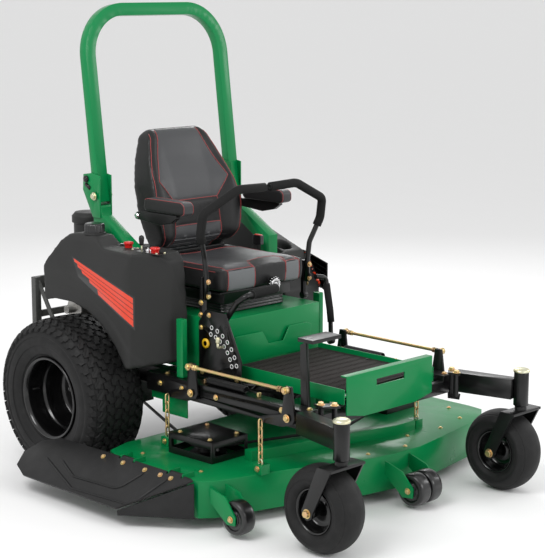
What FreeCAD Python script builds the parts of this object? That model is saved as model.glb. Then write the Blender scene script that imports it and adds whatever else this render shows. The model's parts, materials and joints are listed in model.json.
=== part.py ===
"""Zero turn mower with a side-discharge deck, a folding roll bar, a sprung seat and two steering levers.

The parts are drawn in the vehicle's own axes, in millimetres: X is 0 on the centre line and positive to the
operator's left, Y is 0 on the rear axle and positive to the rear, and Z is 0 on the ground.
Each finished node is then moved by (shift_x, shift_y), which puts the origin under the middle of the machine.
"""
import FreeCAD, Part
import math
import os

import Sketcher

Vector = FreeCAD.Vector
doc = FreeCAD.newDocument("ZeroTurnMower")
sheet = doc.addObject("Spreadsheet::Sheet", "Dims")
nodes = []

SIZES = {
    "shift_x": 2, "shift_y": 572,
    # drive wheels: 26 x 12 - 12
    "tyre_radius": 330, "tyre_width": 285, "wheel_x": 543, "rim_radius": 170,
    # caster wheels: 13 x 6.5 - 6
    "caster_radius": 165, "caster_width": 148, "caster_x": 529, "caster_y": -1437,
    "barrel_y": -1519, "barrel_low": 364, "barrel_high": 500, "kingpin_radius": 16,
    # frame
    "rail_low": 390, "rail_high": 465, "rail_in": 365, "rail_out": 425, "frame_front": -1255,
    "floor_top": 500, "floor_half": 262, "panel_y": -1290,
    # roll bar
    "rops_x": 374, "rops_top": 1937, "rops_tube_wide": 52, "rops_tube_deep": 40,
    "pivot_y": -12, "pivot_z": 1150, "rops_lean": 7,
    # deck lift linkage
    "crank_x": 438, "crank_rear_y": -638, "crank_front_y": -1169, "crank_z": 430,
    "rod_rise": 108, "chain_reach": 130, "chain_drop": 30,
    # deck
    "deck_low": 45, "deck_top": 190, "deck_wall": 5, "deck_right": -692, "deck_left": 893,
    "spindle_right_x": -412, "spindle_mid_x": 102, "spindle_left_x": 616,
    "spindle_side_y": -700, "spindle_mid_y": -872, "blade_length": 528, "blade_z": 78,
    "roller_radius": 66, "roller_width": 62, "roller_z": 78,
    # seat
    "seat_half": 248, "cushion_low": 792, "cushion_high": 900, "cushion_front": -606, "cushion_back": -150,
    "arm_x": 282, "arm_width": 60,
    # tanks over the wheels
    "tank_in": 326, "tank_out": 556, "tank_step": 430,
    # steering levers
    "lever_x": 292, "lever_y": -550, "lever_pivot_z": 711, "swing_z": 800, "lever_radius": 11,
}


class Size:
    """A number together with the sheet expression that gives it."""

    def __init__(self, value, text):
        self.value = value
        self.text = text

    def _join(self, other, sign, value, swap=False):
        mine, theirs = self.text, text_of(other)
        if swap:
            mine, theirs = theirs, mine
        return Size(value, f"({mine} {sign} {theirs})")

    def __add__(self, other):
        return self._join(other, "+", self.value + num(other))

    __radd__ = __add__

    def __sub__(self, other):
        return self._join(other, "-", self.value - num(other))

    def __rsub__(self, other):
        return self._join(other, "-", num(other) - self.value, swap=True)

    def __mul__(self, other):
        return self._join(other, "*", self.value * num(other))

    __rmul__ = __mul__

    def __truediv__(self, other):
        return self._join(other, "/", self.value / num(other))

    def __neg__(self):
        return Size(-self.value, f"(-1 * {self.text})")


def num(size):
    return size.value if isinstance(size, Size) else float(size)


def text_of(size):
    return size.text if isinstance(size, Size) else f"{float(size):.6g}"


def fill_sheet():
    """Writes SIZES to the sheet and returns each as a Size."""
    found = {}
    for row, (alias, value) in enumerate(SIZES.items(), start=1):
        sheet.set(f"A{row}", alias)
        sheet.set(f"B{row}", str(value))
        sheet.setAlias(f"B{row}", alias)
        found[alias] = Size(float(value), f"Dims.{alias}")
    doc.recompute()
    return found


D = fill_sheet()


def bind(thing, prop, size):
    """Sets a property to a number, or binds it to the sheet."""
    if isinstance(size, Size):
        thing.setExpression(prop, size.text)
    else:
        thing.setExpression(prop, text_of(size))


def place(thing, at, axis=(0, 0, 1), turn=0.0, start=(0, 0, 1)):
    """Puts a thing at a point, its start axis turned to axis, then turned about that axis."""
    spin = FreeCAD.Rotation(Vector(*axis), turn)
    thing.Placement = FreeCAD.Placement(
        Vector(*[num(a) for a in at]), spin.multiply(FreeCAD.Rotation(Vector(*start), Vector(*axis)))
    )
    for letter, size in zip("xyz", at):
        if isinstance(size, Size):
            thing.setExpression(f"Placement.Base.{letter}", size.text)
    return thing


def box(low, high):
    """A block between two corners."""
    made = doc.addObject("Part::Box", "Block")
    for prop, a, b in zip(("Length", "Width", "Height"), low, high):
        bind(made, prop, b - a)
    return place(made, low)


def rod(radius, length, at, axis=(0, 0, 1)):
    """A round bar from a point along an axis."""
    made = doc.addObject("Part::Cylinder", "Bar")
    bind(made, "Radius", radius)
    bind(made, "Height", length)
    return place(made, at, axis)


def plane_sketch(body, role, points):
    """A closed outline on one of the body's own planes, each corner held by two dimensions."""
    sketch = body.newObject("Sketcher::SketchObject", "Outline")
    plane = [f for f in body.Origin.OriginFeatures if f.Role == role][0]
    sketch.AttachmentSupport = [(plane, "")]
    sketch.MapMode = "FlatFace"
    count = len(points)
    ends = [Vector(num(a), num(b), 0) for a, b in points]
    for i in range(count):
        sketch.addGeometry(Part.LineSegment(ends[i], ends[(i + 1) % count]), False)
    for i in range(count):
        sketch.addConstraint(Sketcher.Constraint("Coincident", i, 2, (i + 1) % count, 1))
    for i, point in enumerate(points):
        for kind, size in zip(("DistanceX", "DistanceY"), point):
            held = sketch.addConstraint(Sketcher.Constraint(kind, -1, 1, i, 1, num(size)))
            if isinstance(size, Size):
                sketch.setExpression(f"Constraints[{held}]", size.text)
    return sketch


def plate(role, points, start, thickness):
    """A flat outline given thickness: XY outlines rise from z=start, YZ ones go to +X and XZ ones to +Y."""
    body = doc.addObject("PartDesign::Body", "Plate")
    sketch = plane_sketch(body, role, points)
    pad = body.newObject("PartDesign::Pad", "Pad")
    pad.Profile = sketch
    bind(pad, "Length", thickness)
    pad.Reversed = role == "XZ_Plane"
    at = {"XY_Plane": (0, 0, start), "YZ_Plane": (start, 0, 0), "XZ_Plane": (0, start, 0)}[role]
    return place(body, at)


def turned(profile, at, axis=(0, 0, 1)):
    """A solid of revolution: profile is (radius, distance along the axis)."""
    body = doc.addObject("PartDesign::Body", "Turned")
    sketch = plane_sketch(body, "XZ_Plane", profile)
    spin = body.newObject("PartDesign::Revolution", "Spin")
    spin.Profile = sketch
    spin.ReferenceAxis = (sketch, ["V_Axis"])
    spin.Angle = 360
    return place(body, at, axis)


def cut(base, *tools):
    for tool in tools:
        made = doc.addObject("Part::Cut", "Cut")
        made.Base = base
        made.Tool = tool
        base = made
    return base


def fuse(*shapes):
    made = doc.addObject("Part::MultiFuse", "Fused")
    made.Shapes = list(shapes)
    return made


def shaped(shape):
    """A shape made with Part's own functions."""
    made = doc.addObject("Part::Feature", "Shaped")
    made.Shape = shape
    return made


def rounded_wire(points, radius, closed=False):
    """Straight runs joined by tangent arcs of one radius, or of a list of radii, one for each corner."""
    spots = [Vector(*[num(a) for a in p]) for p in points]
    count = len(spots)
    corners = range(count) if closed else range(1, count - 1)
    radii = radius if isinstance(radius, (list, tuple)) else [radius] * len(corners)
    first_end, edges, here = None, [], None if closed else spots[0]
    for i, r in zip(corners, radii):
        before, corner, after = spots[i - 1], spots[i], spots[(i + 1) % count]
        a, b = (before - corner).normalize(), (after - corner).normalize()
        half = a.getAngle(b) / 2
        reach = r / math.tan(half)
        start, end = corner + a * reach, corner + b * reach
        bisector = (a + b).normalize()
        middle = corner + bisector * (r / math.sin(half) - r)
        if here is None:
            first_end = start
        else:
            edges.append(Part.LineSegment(here, start).toShape())
        edges.append(Part.Arc(start, middle, end).toShape())
        here = end
    edges.append(Part.LineSegment(here, first_end if closed else spots[-1]).toShape())
    return Part.Wire(edges)


def round_tube(points, radius, bend, bore=0.0):
    """A round bar or pipe that follows rounded runs."""
    path = rounded_wire(points, bend)
    start = path.Edges[0].Vertexes[0].Point
    along = path.Edges[0].Vertexes[1].Point - start
    swept = []
    for r in [radius] + ([bore] if bore else []):
        ring = Part.Wire([Part.Circle(start, along, num(r)).toShape()])
        swept.append(path.makePipeShell([ring], True, True))
    return swept[0].cut(swept[1]) if bore else swept[0]


def mirror_pair(make):
    """The right-hand and left-hand copies of a piece that make(side) builds, with side -1 and +1."""
    return [make(side) for side in (-1, 1)]


def node(label, *members):
    """Finishes a node: its members as one compound, moved to the part's own origin."""
    made = doc.addObject("Part::Compound", "Node")
    made.Label = label
    made.Links = list(members)
    made.setExpression("Placement.Base.x", "Dims.shift_x")
    made.setExpression("Placement.Base.y", "Dims.shift_y")
    nodes.append(made)
    return made


SIDES = {"right": -1, "left": 1}


def hex_bolts(spots, axis, radius=9.0, height=7.0):
    """Hexagon heads that stand on a face at each spot."""
    heads = []
    for spot in spots:
        ring = [(radius * math.cos(k * math.pi / 3), radius * math.sin(k * math.pi / 3)) for k in range(6)]
        head = plate("XY_Plane", ring, 0, height)
        heads.append(place(head, spot, axis))
    return heads


# ---------------------------------------------------------------- drive wheels
def rear_tyre(side):
    r, w = D["tyre_radius"], D["tyre_width"] / 2
    bead = D["rim_radius"]
    outer = [(bead, -1 * w * 0.8), (r * 0.62, -1 * w * 0.94), (r * 0.76, -1 * w), (r * 0.89, -1 * w * 0.97),
             (r * 0.975, -1 * w * 0.84), (r, -1 * w * 0.45), (r, w * 0.45), (r * 0.975, w * 0.84),
             (r * 0.89, w * 0.97), (r * 0.76, w), (r * 0.62, w * 0.94), (bead, w * 0.8)]
    inner = [(bead, w * 0.7), (r * 0.63, w * 0.82), (r * 0.76, w * 0.87), (r * 0.87, w * 0.84),
             (r * 0.92, w * 0.7), (r * 0.93, w * 0.4), (r * 0.93, -1 * w * 0.4), (r * 0.92, -1 * w * 0.7),
             (r * 0.87, -1 * w * 0.84), (r * 0.76, -1 * w * 0.87), (r * 0.63, -1 * w * 0.82),
             (bead, -1 * w * 0.7)]
    return turned(outer + inner, (side * D["wheel_x"], 0, r), (side, 0, 0))


def rear_rim(side):
    """A deep rim whose disc sits near the machine, its hub and five wheel nuts."""
    flange, seat, drop, skin = D["rim_radius"] - 0.5, 152.0, 140.0, 5.0
    w = D["tyre_width"] / 2
    disc, disc_thick, bore = -60.0, 7.0, 40.0
    barrel = [(flange, -1 * w * 0.9), (flange, -1 * w * 0.86), (seat, -1 * w * 0.8), (seat, -40), (drop, -24),
              (drop, 24), (seat, 40), (seat, w * 0.8), (flange, w * 0.86), (flange, w * 0.9),
              (seat - skin, w * 0.86), (seat - skin, 42), (drop - skin, 26), (drop - skin, -26),
              (seat - skin, -42), (seat - skin, disc), (bore, disc), (bore, disc - disc_thick),
              (seat - skin, disc - disc_thick), (seat - skin, -1 * w * 0.86)]
    at = (side * D["wheel_x"], 0, D["tyre_radius"])
    pitch, nut_radius, nut_tall = 57.15, 11.0, 18.0
    hub_face = D["wheel_x"] + disc - disc_thick
    hub = turned([(0, 0), (70, 0), (70, 12), (38, 14), (38, 40), (0, 40)],
                 (side * (hub_face), 0, D["tyre_radius"]), (-side, 0, 0))
    snout = rod(39.5, 26, (side * (hub_face + 0.2), 0, D["tyre_radius"]), (side, 0, 0))
    cap = fuse(hub, snout)
    nuts = []
    for k in range(5):
        angle = math.radians(72 * k + 18)
        spot = (side * (D["wheel_x"] + disc), pitch * math.sin(angle), D["tyre_radius"] + pitch * math.cos(angle))
        nuts += hex_bolts([spot], (side, 0, 0), nut_radius, nut_tall)
    return [turned(barrel, at, (side, 0, 0)), cap] + nuts


for name, side in SIDES.items():
    node(f"rear_tyre_{name}", rear_tyre(side))
    node(f"rear_rim_{name}", *rear_rim(side))


# ---------------------------------------------------------------- caster wheels
def caster_tyre(side):
    r, w = D["caster_radius"], D["caster_width"] / 2
    bead = 84.0
    profile = [(bead, -1 * w * 0.72), (bead + 18, -1 * w * 0.96), (r * 0.76, -1 * w), (r * 0.9, -1 * w * 0.86),
               (r * 0.975, -1 * w * 0.6), (r, -1 * w * 0.22), (r, w * 0.22), (r * 0.975, w * 0.6),
               (r * 0.9, w * 0.86), (r * 0.76, w), (bead + 18, w * 0.96), (bead, w * 0.72)]
    return turned(profile, (side * D["caster_x"], D["caster_y"], r), (side, 0, 0))


def caster_rim(side):
    """A pressed rim round a long hub that runs on the axle bolt."""
    w, shell, hub, bore = 53.0, 80.0, 21.0, 8.06
    half_hub = D["caster_width"] / 2
    profile = [(bore, -1 * half_hub), (hub, -1 * half_hub), (hub, -8), (shell - 6, -8), (shell - 6, -w + 8),
               (83.8, -w), (83.8, w), (shell - 6, w - 8), (shell - 6, 8), (hub, 8), (hub, half_hub),
               (bore, half_hub)]
    return turned(profile, (side * D["caster_x"], D["caster_y"], D["caster_radius"]), (side, 0, 0))


def caster_fork(side):
    """A bent strap over the wheel with a king pin on top and the axle bolt through both legs."""
    gap, strap, y0, y1 = 82.0, 8.0, D["barrel_y"], D["caster_y"]
    crown_low, crown_high = 336.0, 346.0
    axle_z, boss = D["caster_radius"], 27.0
    leg = [(y0 - 34, crown_high), (y0 + 34, crown_high), (y1 + boss, axle_z + 8), (y1 + boss * 0.8, axle_z - 16),
           (y1, axle_z - boss), (y1 - boss * 0.8, axle_z - 16), (y1 - boss, axle_z + 6)]
    x = side * D["caster_x"]
    pieces = [plate("YZ_Plane", leg, x - gap - strap, strap), plate("YZ_Plane", leg, x + gap, strap)]
    pieces.append(box((x - gap - strap, y0 - 34, crown_low), (x + gap + strap, y0 + 34, crown_high)))
    pieces.append(rod(24, 14, (x, y0, crown_high)))
    pieces.append(rod(D["kingpin_radius"], D["barrel_high"] - crown_high - 8, (x, y0, crown_high)))
    axle = rod(8, 2 * gap + 2 * strap, (x - gap - strap, y1, axle_z), (1, 0, 0))
    heads = hex_bolts([(x + gap + strap, y1, axle_z)], (1, 0, 0), 13, 10)
    heads += hex_bolts([(x - gap - strap, y1, axle_z)], (-1, 0, 0), 13, 10)
    return [fuse(*pieces, axle, *heads)]


for name, side in SIDES.items():
    node(f"caster_tyre_{name}", caster_tyre(side))
    node(f"caster_rim_{name}", caster_rim(side))
    node(f"caster_fork_{name}", *caster_fork(side))


# ---------------------------------------------------------------- frame
def beam_between(start, end, wide, low, high):
    """A box-section beam between two points in plan."""
    a, b = Vector(num(start[0]), num(start[1]), 0), Vector(num(end[0]), num(end[1]), 0)
    along = (b - a).normalize()
    across = Vector(-along.y, along.x, 0) * (wide / 2)
    corners = [a + across, b + across, b - across, a - across]
    return plate("XY_Plane", [(p.x, p.y) for p in corners], low, high - low)


def caster_arm(side):
    """The arm that carries one caster: a beam, the barrel with its dust cap, and the clamp at the frame."""
    x, y = side * D["caster_x"], D["barrel_y"]
    beam = beam_between((side * 449, -1251), (side * 506, -1500), 58, 392, 472)
    barrel = rod(30, D["barrel_high"] - D["barrel_low"], (x, y, D["barrel_low"]))
    bore = rod(D["kingpin_radius"] + 0.06, D["barrel_high"] - D["barrel_low"] - 6, (x, y, D["barrel_low"]))
    arm = cut(fuse(beam, barrel), bore)
    cap = turned([(0, 0), (31, 0), (31, 5), (24, 10), (12, 13), (0, 14)], (x, y, D["barrel_high"]))
    return [arm, cap]


def arm_clamp(side):
    """Two diamond plates and the round spacers between them, which hold the arm to the frame's nose."""
    pieces = []
    for z in (386, 484):
        diamond = [(side * 392, -1256), (side * 404, -1312), (side * 350, -1350), (side * 338, -1300)]
        pieces.append(plate("XY_Plane", diamond, z, 8))
    for x, y in ((384, -1282), (358, -1326)):
        pieces.append(rod(10, 98, (side * x, y, 390)))
    return [fuse(*pieces)] + hex_bolts([(side * 384, -1282, 492), (side * 358, -1326, 492)], (0, 0, 1), 10, 7)


node("caster_arms", *sum(mirror_pair(caster_arm) + mirror_pair(arm_clamp), []))


def main_frame():
    """Two box rails each side of the foot platform, two inner rails under the engine, and cross members."""
    low, high = D["rail_low"], D["rail_high"]
    pieces = []
    for side in (-1, 1):
        a, b = (D["rail_in"], D["rail_out"]) if side > 0 else (-D["rail_out"], -D["rail_in"])
        pieces.append(box((a, D["frame_front"], low), (b, -345, high)))
        c, d = (300, 350) if side > 0 else (-350, -300)
        pieces.append(box((c, -440, low), (d, 440, high)))
    nose = D["frame_front"]
    pieces.append(box((-D["rail_out"], nose, low), (D["rail_out"], nose + 33, low + 50)))
    pieces.append(box((-D["rail_out"], -405, low), (D["rail_out"], -345, high)))
    pieces.append(box((-350, -30, low), (350, 30, high)))
    pieces.append(box((-350, 385, low), (350, 440, high)))
    solid = fuse(*pieces)
    shaft_r = 12.1
    front = rod(shaft_r, 900, (-450, D["crank_front_y"], D["crank_z"]), (1, 0, 0))
    rear = rod(shaft_r, 900, (-450, D["crank_rear_y"], D["crank_z"]), (1, 0, 0))
    hitch = rod(10, 100, (0, 412, low - 10))
    return cut(solid, front, rear, hitch)


node("main_frame", main_frame())


def hip_plate(side):
    """The coloured side plate between the front rail and the axle, notched above the belt's idler."""
    outline = [(-560, 300), (-410, 300), (-410, 352), (-345, 352), (-345, 389), (-560, 389)]
    return plate("YZ_Plane", outline, side * 395 - 3, 6)


def hip_post(side):
    """The coloured upright in front of the tank."""
    return box((side * 396 - 12, -548, 466), (side * 396 + 12, -512, 705))


def rops_post(side):
    """A lower post of the roll bar: up from the frame, back under the knuckle, between its two ear plates."""
    x = side * D["rops_x"]
    half = D["rops_tube_wide"] / 2 + 0.3
    y, z = D["pivot_y"], D["pivot_z"]
    spine = [(-276, 466), (-276, 930), (y - 36, z - 80), (y - 28, z - 38), (y + 22, z - 38), (y + 22, z - 108),
             (-226, 895), (-226, 466)]
    post = plate("YZ_Plane", spine, x - half, half * 2)
    ear = [(y - 30, z - 90), (y + 20, z - 90), (y + 82, z + 20), (y + 78, z + 86), (y + 22, z + 95),
           (y - 30, z + 86)]
    ears = [plate("YZ_Plane", ear, x - half - 6, 6), plate("YZ_Plane", ear, x + half, 6)]
    pin_hole = rod(8.06, 90, (x - 45, y, z), (1, 0, 0))
    return cut(fuse(post, *ears), pin_hole)


node("frame_uprights", *mirror_pair(hip_plate), *mirror_pair(hip_post), *mirror_pair(rops_post))


def rear_guard():
    """The frame behind the engine: posts, a top plate, a lower bar and two braces."""
    pieces = []
    for side in (-1, 1):
        x = side * 375
        pieces.append(box((x - 15, 441, 392), (x + 15, 471, 745)))
        brace = [(441, 730), (441, 690), (300, 468), (270, 468)]
        pieces.append(plate("YZ_Plane", brace, side * 366 - 4, 8))
    pieces.append(box((-390, 455, 690), (390, 471, 745)))
    pieces.append(box((-390, 441, 392), (390, 471, 440)))
    pieces.append(box((-390, 459, 560), (390, 471, 590)))
    holes = [rod(6.5, 50, (x, 430, z), (0, 1, 0)) for x in (-300, 300) for z in (416, 717)]
    return cut(fuse(*pieces), *holes)


node("rear_guard", rear_guard())


# ---------------------------------------------------------------- foot platform and seat box
def foot_platform():
    """A pan with upturned sides, and the upright front panel with its hand hole."""
    half, top, front = D["floor_half"], D["floor_top"], D["panel_y"]
    pieces = [box((-half, front + 4, top - 5), (half, -662, top))]
    for side in (-1, 1):
        a, b = (half - 5, half) if side > 0 else (-half, 5 - half)
        pieces.append(box((a, front + 4, top - 33), (b, -662, top + 26)))
    panel = plate("XZ_Plane", [(-250, 425), (-150, 405), (150, 405), (250, 425), (250, 574), (-250, 574)], front, 6)
    panel = cut(panel, box((-82, front - 10, 512), (82, front + 20, 538)))
    lip = box((-250, front, 568), (250, front + 34, 574))
    return fuse(*pieces, panel, lip)


node("foot_platform", foot_platform())
node("foot_mat", box((-D["floor_half"] + 6, D["panel_y"] + 40, D["floor_top"]),
                     (D["floor_half"] - 6, -664, D["floor_top"] + 6)))


def seat_box():
    """The steel box that holds the seat up, with a plate on its front."""
    outer = box((-286, -640, 466), (286, -130, 694))
    inner = box((-281, -635, 460), (281, -125, 689))
    front = plate("XZ_Plane", [(-214, 508), (214, 508), (222, 612), (196, 622), (90, 622), (55, 566), (-30, 566),
                               (-66, 622), (-222, 622)], -656, 6)
    spacers = [box((x - 12, -650, 520), (x + 12, -640, 560)) for x in (-150, 150)]
    return [cut(outer, inner), fuse(front, *spacers)]


node("seat_box", *seat_box())


# ---------------------------------------------------------------- tanks over the wheels
def tank(side):
    """A moulded fuel tank that is also the mudguard: the overlap of its plan, side and front outlines.

    The right one carries the hand controls on a flat ledge, and the left one falls away to a cup holder.
    """
    arch_y, arch_z, arch_r = 20.0, 290.0, 440.0
    arch = [(arch_y + arch_r * math.sin(math.radians(a)), arch_z + arch_r * math.cos(math.radians(a)))
            for a in (-62, -48, -34, -20, -6, 8, 17)]
    rear = [(156, 780), (156, 862), (120, 905)]
    if side < 0:
        side_view = arch + rear + [(60, 970), (10, 1004), (-40, 1012), (-150, 1012), (-215, 968), (-440, 962),
                                   (-470, 930), (-485, 760), (-505, 545), (-500, 522)]
    else:
        side_view = arch + rear + [(76, 952), (70, 955), (-26, 955), (-44, 940), (-290, 846), (-335, 780),
                                   (-394, 696), (-404, 615), (-412, 540), (-408, 522)]
    inner, outer, step = D["tank_in"], D["tank_out"], D["tank_step"]
    plan = [(inner, -490), (400, -472), (480, -430), (outer - 4, -388), (outer, -360), (outer, 160), (step, 160),
            (step, -285), (inner, -285)]
    front_view = [(inner, 500), (outer, 500), (outer, 895), (outer - 16, 985), (outer - 34, 1015),
                  (outer - 34, 1040), (inner, 1040)]
    across = [(side * a, b) for a, b in plan]
    fore = [(side * a, b) for a, b in front_view]
    made = doc.addObject("Part::MultiCommon", "Tank")
    start = 300 if side > 0 else -D["tank_out"] - 5
    made.Shapes = [plate("YZ_Plane", side_view, start, 270), plate("XY_Plane", across, 480, 600),
                   plate("XZ_Plane", fore, -600, 900)]
    if side > 0:
        return cut(made, rod(40, 110, (480, -226, 800)), rod(26, 60, (446, -150, 862)))
    return cut(made, *[rod(8.3, 60, (-440, y, 925)) for y in (-425, -262)],
               box((-446, -370, 925), (-434, -320, 990)))


FUEL_CAPS = {"right": (-480, -95, 1012.4), "left": (480, 22, 955.4)}
for name, side in SIDES.items():
    node(f"fuel_tank_{name}", tank(side))
    node(f"fuel_cap_{name}", turned([(0, 0), (40, 0), (42, 6), (42, 36), (36, 42), (0, 42)], FUEL_CAPS[name]))


node("blade_switch", turned([(0, 0), (8, 0), (8, 34), (15, 38), (20, 50), (20, 58), (0, 58)], (-440, -425, 930)))
node("choke_knob", turned([(0, 0), (8, 0), (8, 40), (15, 44), (18, 54), (18, 62), (0, 62)], (-440, -262, 930)))
node("throttle_lever", fuse(box((-443, -350, 930), (-437, -336, 1000)), rod(5, 10, (-445, -343, 945), (1, 0, 0)),
                            turned([(0, 0), (9, 3), (11, 22), (7, 32), (0, 34)], (-440, -343, 994))))


# ---------------------------------------------------------------- engine
def engine_block():
    """Crankcase on the engine plate, with two finned cylinders in a V."""
    case = rod(128, 150, (0, 200, 473))
    neck = rod(90, 49, (0, 200, 622))
    bed = cut(box((-298, 60, 466), (298, 372, 473)), rod(14.1, 20, (0, 200, 460)))
    pieces = [case, neck, bed]
    for side in (-1, 1):
        out_axis = (side * 0.85, -0.2, 0.12)
        barrel = plate("XY_Plane", [(-60, -60), (60, -60), (60, 60), (-60, 60)], 0, 120)
        pieces.append(place(barrel, (side * 110, 180, 560), out_axis))
        for k in range(5):
            fin = plate("XY_Plane", [(-72, -72), (72, -72), (72, 72), (-72, 72)], 0, 4)
            out = 34 + 18 * k
            pieces.append(place(fin, (side * (110 + out * 0.95), 180 - out * 0.22, 560 + out * 0.13), out_axis))
    return fuse(*pieces)


def engine_pulley():
    """The engine's output shaft and the grooved pulley that drives the blade belt."""
    wheel = turned([(0, 0), (64, 0), (54, 8), (54, 14), (64, 22), (64, 26), (0, 26)], (0, 200, 223))
    return fuse(wheel, rod(14, 240, (0, 200, 232)))


def engine_cowl():
    """The blower shroud with the canister air cleaner beside it."""
    shroud = turned([(0, 0), (176, 0), (182, 30), (176, 130), (150, 165), (60, 176), (0, 176)], (0, 210, 672))
    canister = turned([(0, 0), (66, 0), (66, 190), (74, 194), (74, 222), (60, 238), (0, 242)], (-215, 275, 800))
    return fuse(shroud, canister)


node("engine_block", engine_block())
node("engine_pulley", engine_pulley())
node("engine_cowl", engine_cowl())
node("muffler", fuse(rod(50, 440, (-220, 386, 590), (1, 0, 0)), rod(18, 50, (-265, 386, 590), (1, 0, 0))))


def transaxle(side):
    """One hydrostatic drive: pump housing, axle tube and output shaft."""
    x = side * 250
    pump = box((x - 80, -90, 250), (x + 80, 95, 388))
    tube = rod(45, 88, (side * 330, 0, D["tyre_radius"]), (side, 0, 0))
    shaft = rod(17, 17, (side * 418, 0, D["tyre_radius"]), (side, 0, 0))
    return fuse(pump, tube, shaft)


node("transaxles", *mirror_pair(transaxle))


# ---------------------------------------------------------------- roll bar
def rops_hoop():
    """The tall hoop: a rectangular tube with round shoulders that leans back a little, on two pivot pins."""
    x, top = num(D["rops_x"]), num(D["rops_top"])
    wide, deep = num(D["rops_tube_wide"]), num(D["rops_tube_deep"])
    lean = math.radians(num(D["rops_lean"]))
    foot = 26.0
    rise = (top - wide / 2 - num(D["pivot_z"])) / math.cos(lean) + foot
    path = rounded_wire([(-x, 0, 0), (-x, 0, rise), (x, 0, rise), (x, 0, 0)], 194)
    ring = Part.makePolygon([Vector(-x + a * wide / 2, b * deep / 2, 0) for a, b in
                             ((-1, -1), (1, -1), (1, 1), (-1, 1), (-1, -1))])
    hoop = path.makePipeShell([ring], True, True)
    hoop.translate(Vector(0, 0, -foot))
    hoop.rotate(Vector(0, 0, 0), Vector(1, 0, 0), -math.degrees(lean))
    hoop.translate(Vector(0, num(D["pivot_y"]), num(D["pivot_z"])))
    pins = []
    for side in (-1, 1):
        start, reach = side * D["rops_x"] - 40, 80
        pins.append(rod(8, reach, (start, D["pivot_y"], D["pivot_z"]), (1, 0, 0)))
        pins.append(rod(14, 7, (start, D["pivot_y"], D["pivot_z"]), (1, 0, 0)))
        pins.append(rod(14, 7, (start + reach - 7, D["pivot_y"], D["pivot_z"]), (1, 0, 0)))
    return fuse(shaped(hoop), *pins)


node("rops_hoop", rops_hoop())


# ---------------------------------------------------------------- seat
node("seat_base", box((-178, -545, 694), (178, -175, 743)))
node("seat_pan", cut(fuse(box((-190, -560, 740), (190, -160, 784)), box((-215, -561, 780), (215, -150, 788))),
                     box((-181, -551, 730), (181, -169, 780))))
node("seat_knob", turned([(0, 0), (9, 0), (9, 8), (30, 10), (32, 20), (30, 30), (20, 34), (0, 34)],
                         (28, -606.5, 803), (0, -1, 0)))


def seat_cushion():
    half = D["seat_half"]
    front, back = D["cushion_front"], D["cushion_back"]
    outline = [(-half + 18, front), (half - 18, front), (half, front + 40), (half, back - 60), (half - 30, back),
               (30 - half, back), (-half, back - 60), (-half, front + 40)]
    return plate("XY_Plane", outline, D["cushion_low"], D["cushion_high"] - D["cushion_low"])


def seat_back():
    """A tall leaning back, narrow at the head and wide at the ribs."""
    half_view = [(186, 880), (218, 940), (242, 1030), (250, 1090), (242, 1180), (208, 1295), (168, 1388),
                 (140, 1416)]
    outline = half_view + [(-a, b) for a, b in half_view[::-1]]
    tall = plate("XZ_Plane", outline, -260, 400)
    side = [(-117, 884), (-77, 1100), (-27, 1250), (5, 1390), (-27, 1420), (-69, 1412), (-91, 1390), (-129, 1300),
            (-185, 1200), (-223, 1110), (-233, 1020), (-237, 968), (-204, 931), (-160, 914), (-133, 884)]
    slab = plate("YZ_Plane", side, -300, 600)
    made = doc.addObject("Part::Common", "Back")
    made.Base = tall
    made.Tool = slab
    return fuse(made, rod(4.5, 340, (-170, -160, 905), (1, 0, 0)))


def armrest(side):
    """An upholstered pad on a steel bracket whose bolt turns beside the back."""
    x = side * D["arm_x"]
    half = D["arm_width"] / 2
    pad = plate("YZ_Plane", [(-456, 1104), (-440, 1094), (-215, 1094), (-200, 1110), (-206, 1148), (-226, 1156),
                             (-436, 1156), (-456, 1142)], x - half, D["arm_width"])
    bracket = plate("YZ_Plane", [(-400, 1094), (-215, 1094), (-156, 1090), (-136, 1074), (-146, 1058),
                                 (-300, 1046)], side * 293.5 - 12.5, 25)
    pivot = rod(12, 56, (side * 281.5 - 28, -158, 1073), (1, 0, 0))
    return [pad, fuse(bracket, pivot)]


node("seat_cushion", seat_cushion())
node("seat_back", seat_back())
for name, side in SIDES.items():
    node(f"armrest_{name}", *armrest(side))


# ---------------------------------------------------------------- steering levers
def lever_base(side):
    """The pivoting stub behind the lever's foot, with the pin that lets the lever swing out."""
    x, y = side * D["lever_x"], D["lever_y"]
    bar = box((x - 11, y - 2, D["lever_pivot_z"] - 11), (x + 11, y + 14, 862))
    hub = rod(15, 24, (x - 12, y + 6, D["lever_pivot_z"]), (1, 0, 0))
    pin = rod(4, 34, (x, y + 4, D["swing_z"]), (0, -1, 0))
    head = rod(8, 5, (x, y - 27, D["swing_z"]), (0, -1, 0))
    return fuse(bar, hub, pin, head)


def lever_path(side):
    """The run of the bent tube, from its foot up and over to the hand."""
    x, y = num(D["lever_x"]), num(D["lever_y"]) - 14
    return [(side * x, y, 772), (side * x, y, 868), (side * 302, y - 2, 942), (side * 344, -588, 1044),
            (side * 341, -602, 1128), (side * 167, -618, 1210), (side * 20, -616, 1206)]


def steering_lever(side):
    """The bent tube, drilled for its pin, and the foam grip round its upper part."""
    tube = shaped(round_tube(lever_path(side), D["lever_radius"], [60, 60, 60, 32, 90]))
    grip_path = [(side * 330, -580, 1010)] + lever_path(side)[3:-1] + [(side * 14, -616, 1206)]
    grip = shaped(round_tube(grip_path, 18.5, [60, 32, 90]))
    pin_hole = rod(4.06, 50, (side * D["lever_x"], D["lever_y"] + 20, D["swing_z"]), (0, -1, 0))
    return cut(fuse(tube, grip), pin_hole)


for name, side in SIDES.items():
    node(f"lever_base_{name}", lever_base(side))
    node(f"steering_lever_{name}", steering_lever(side))


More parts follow.
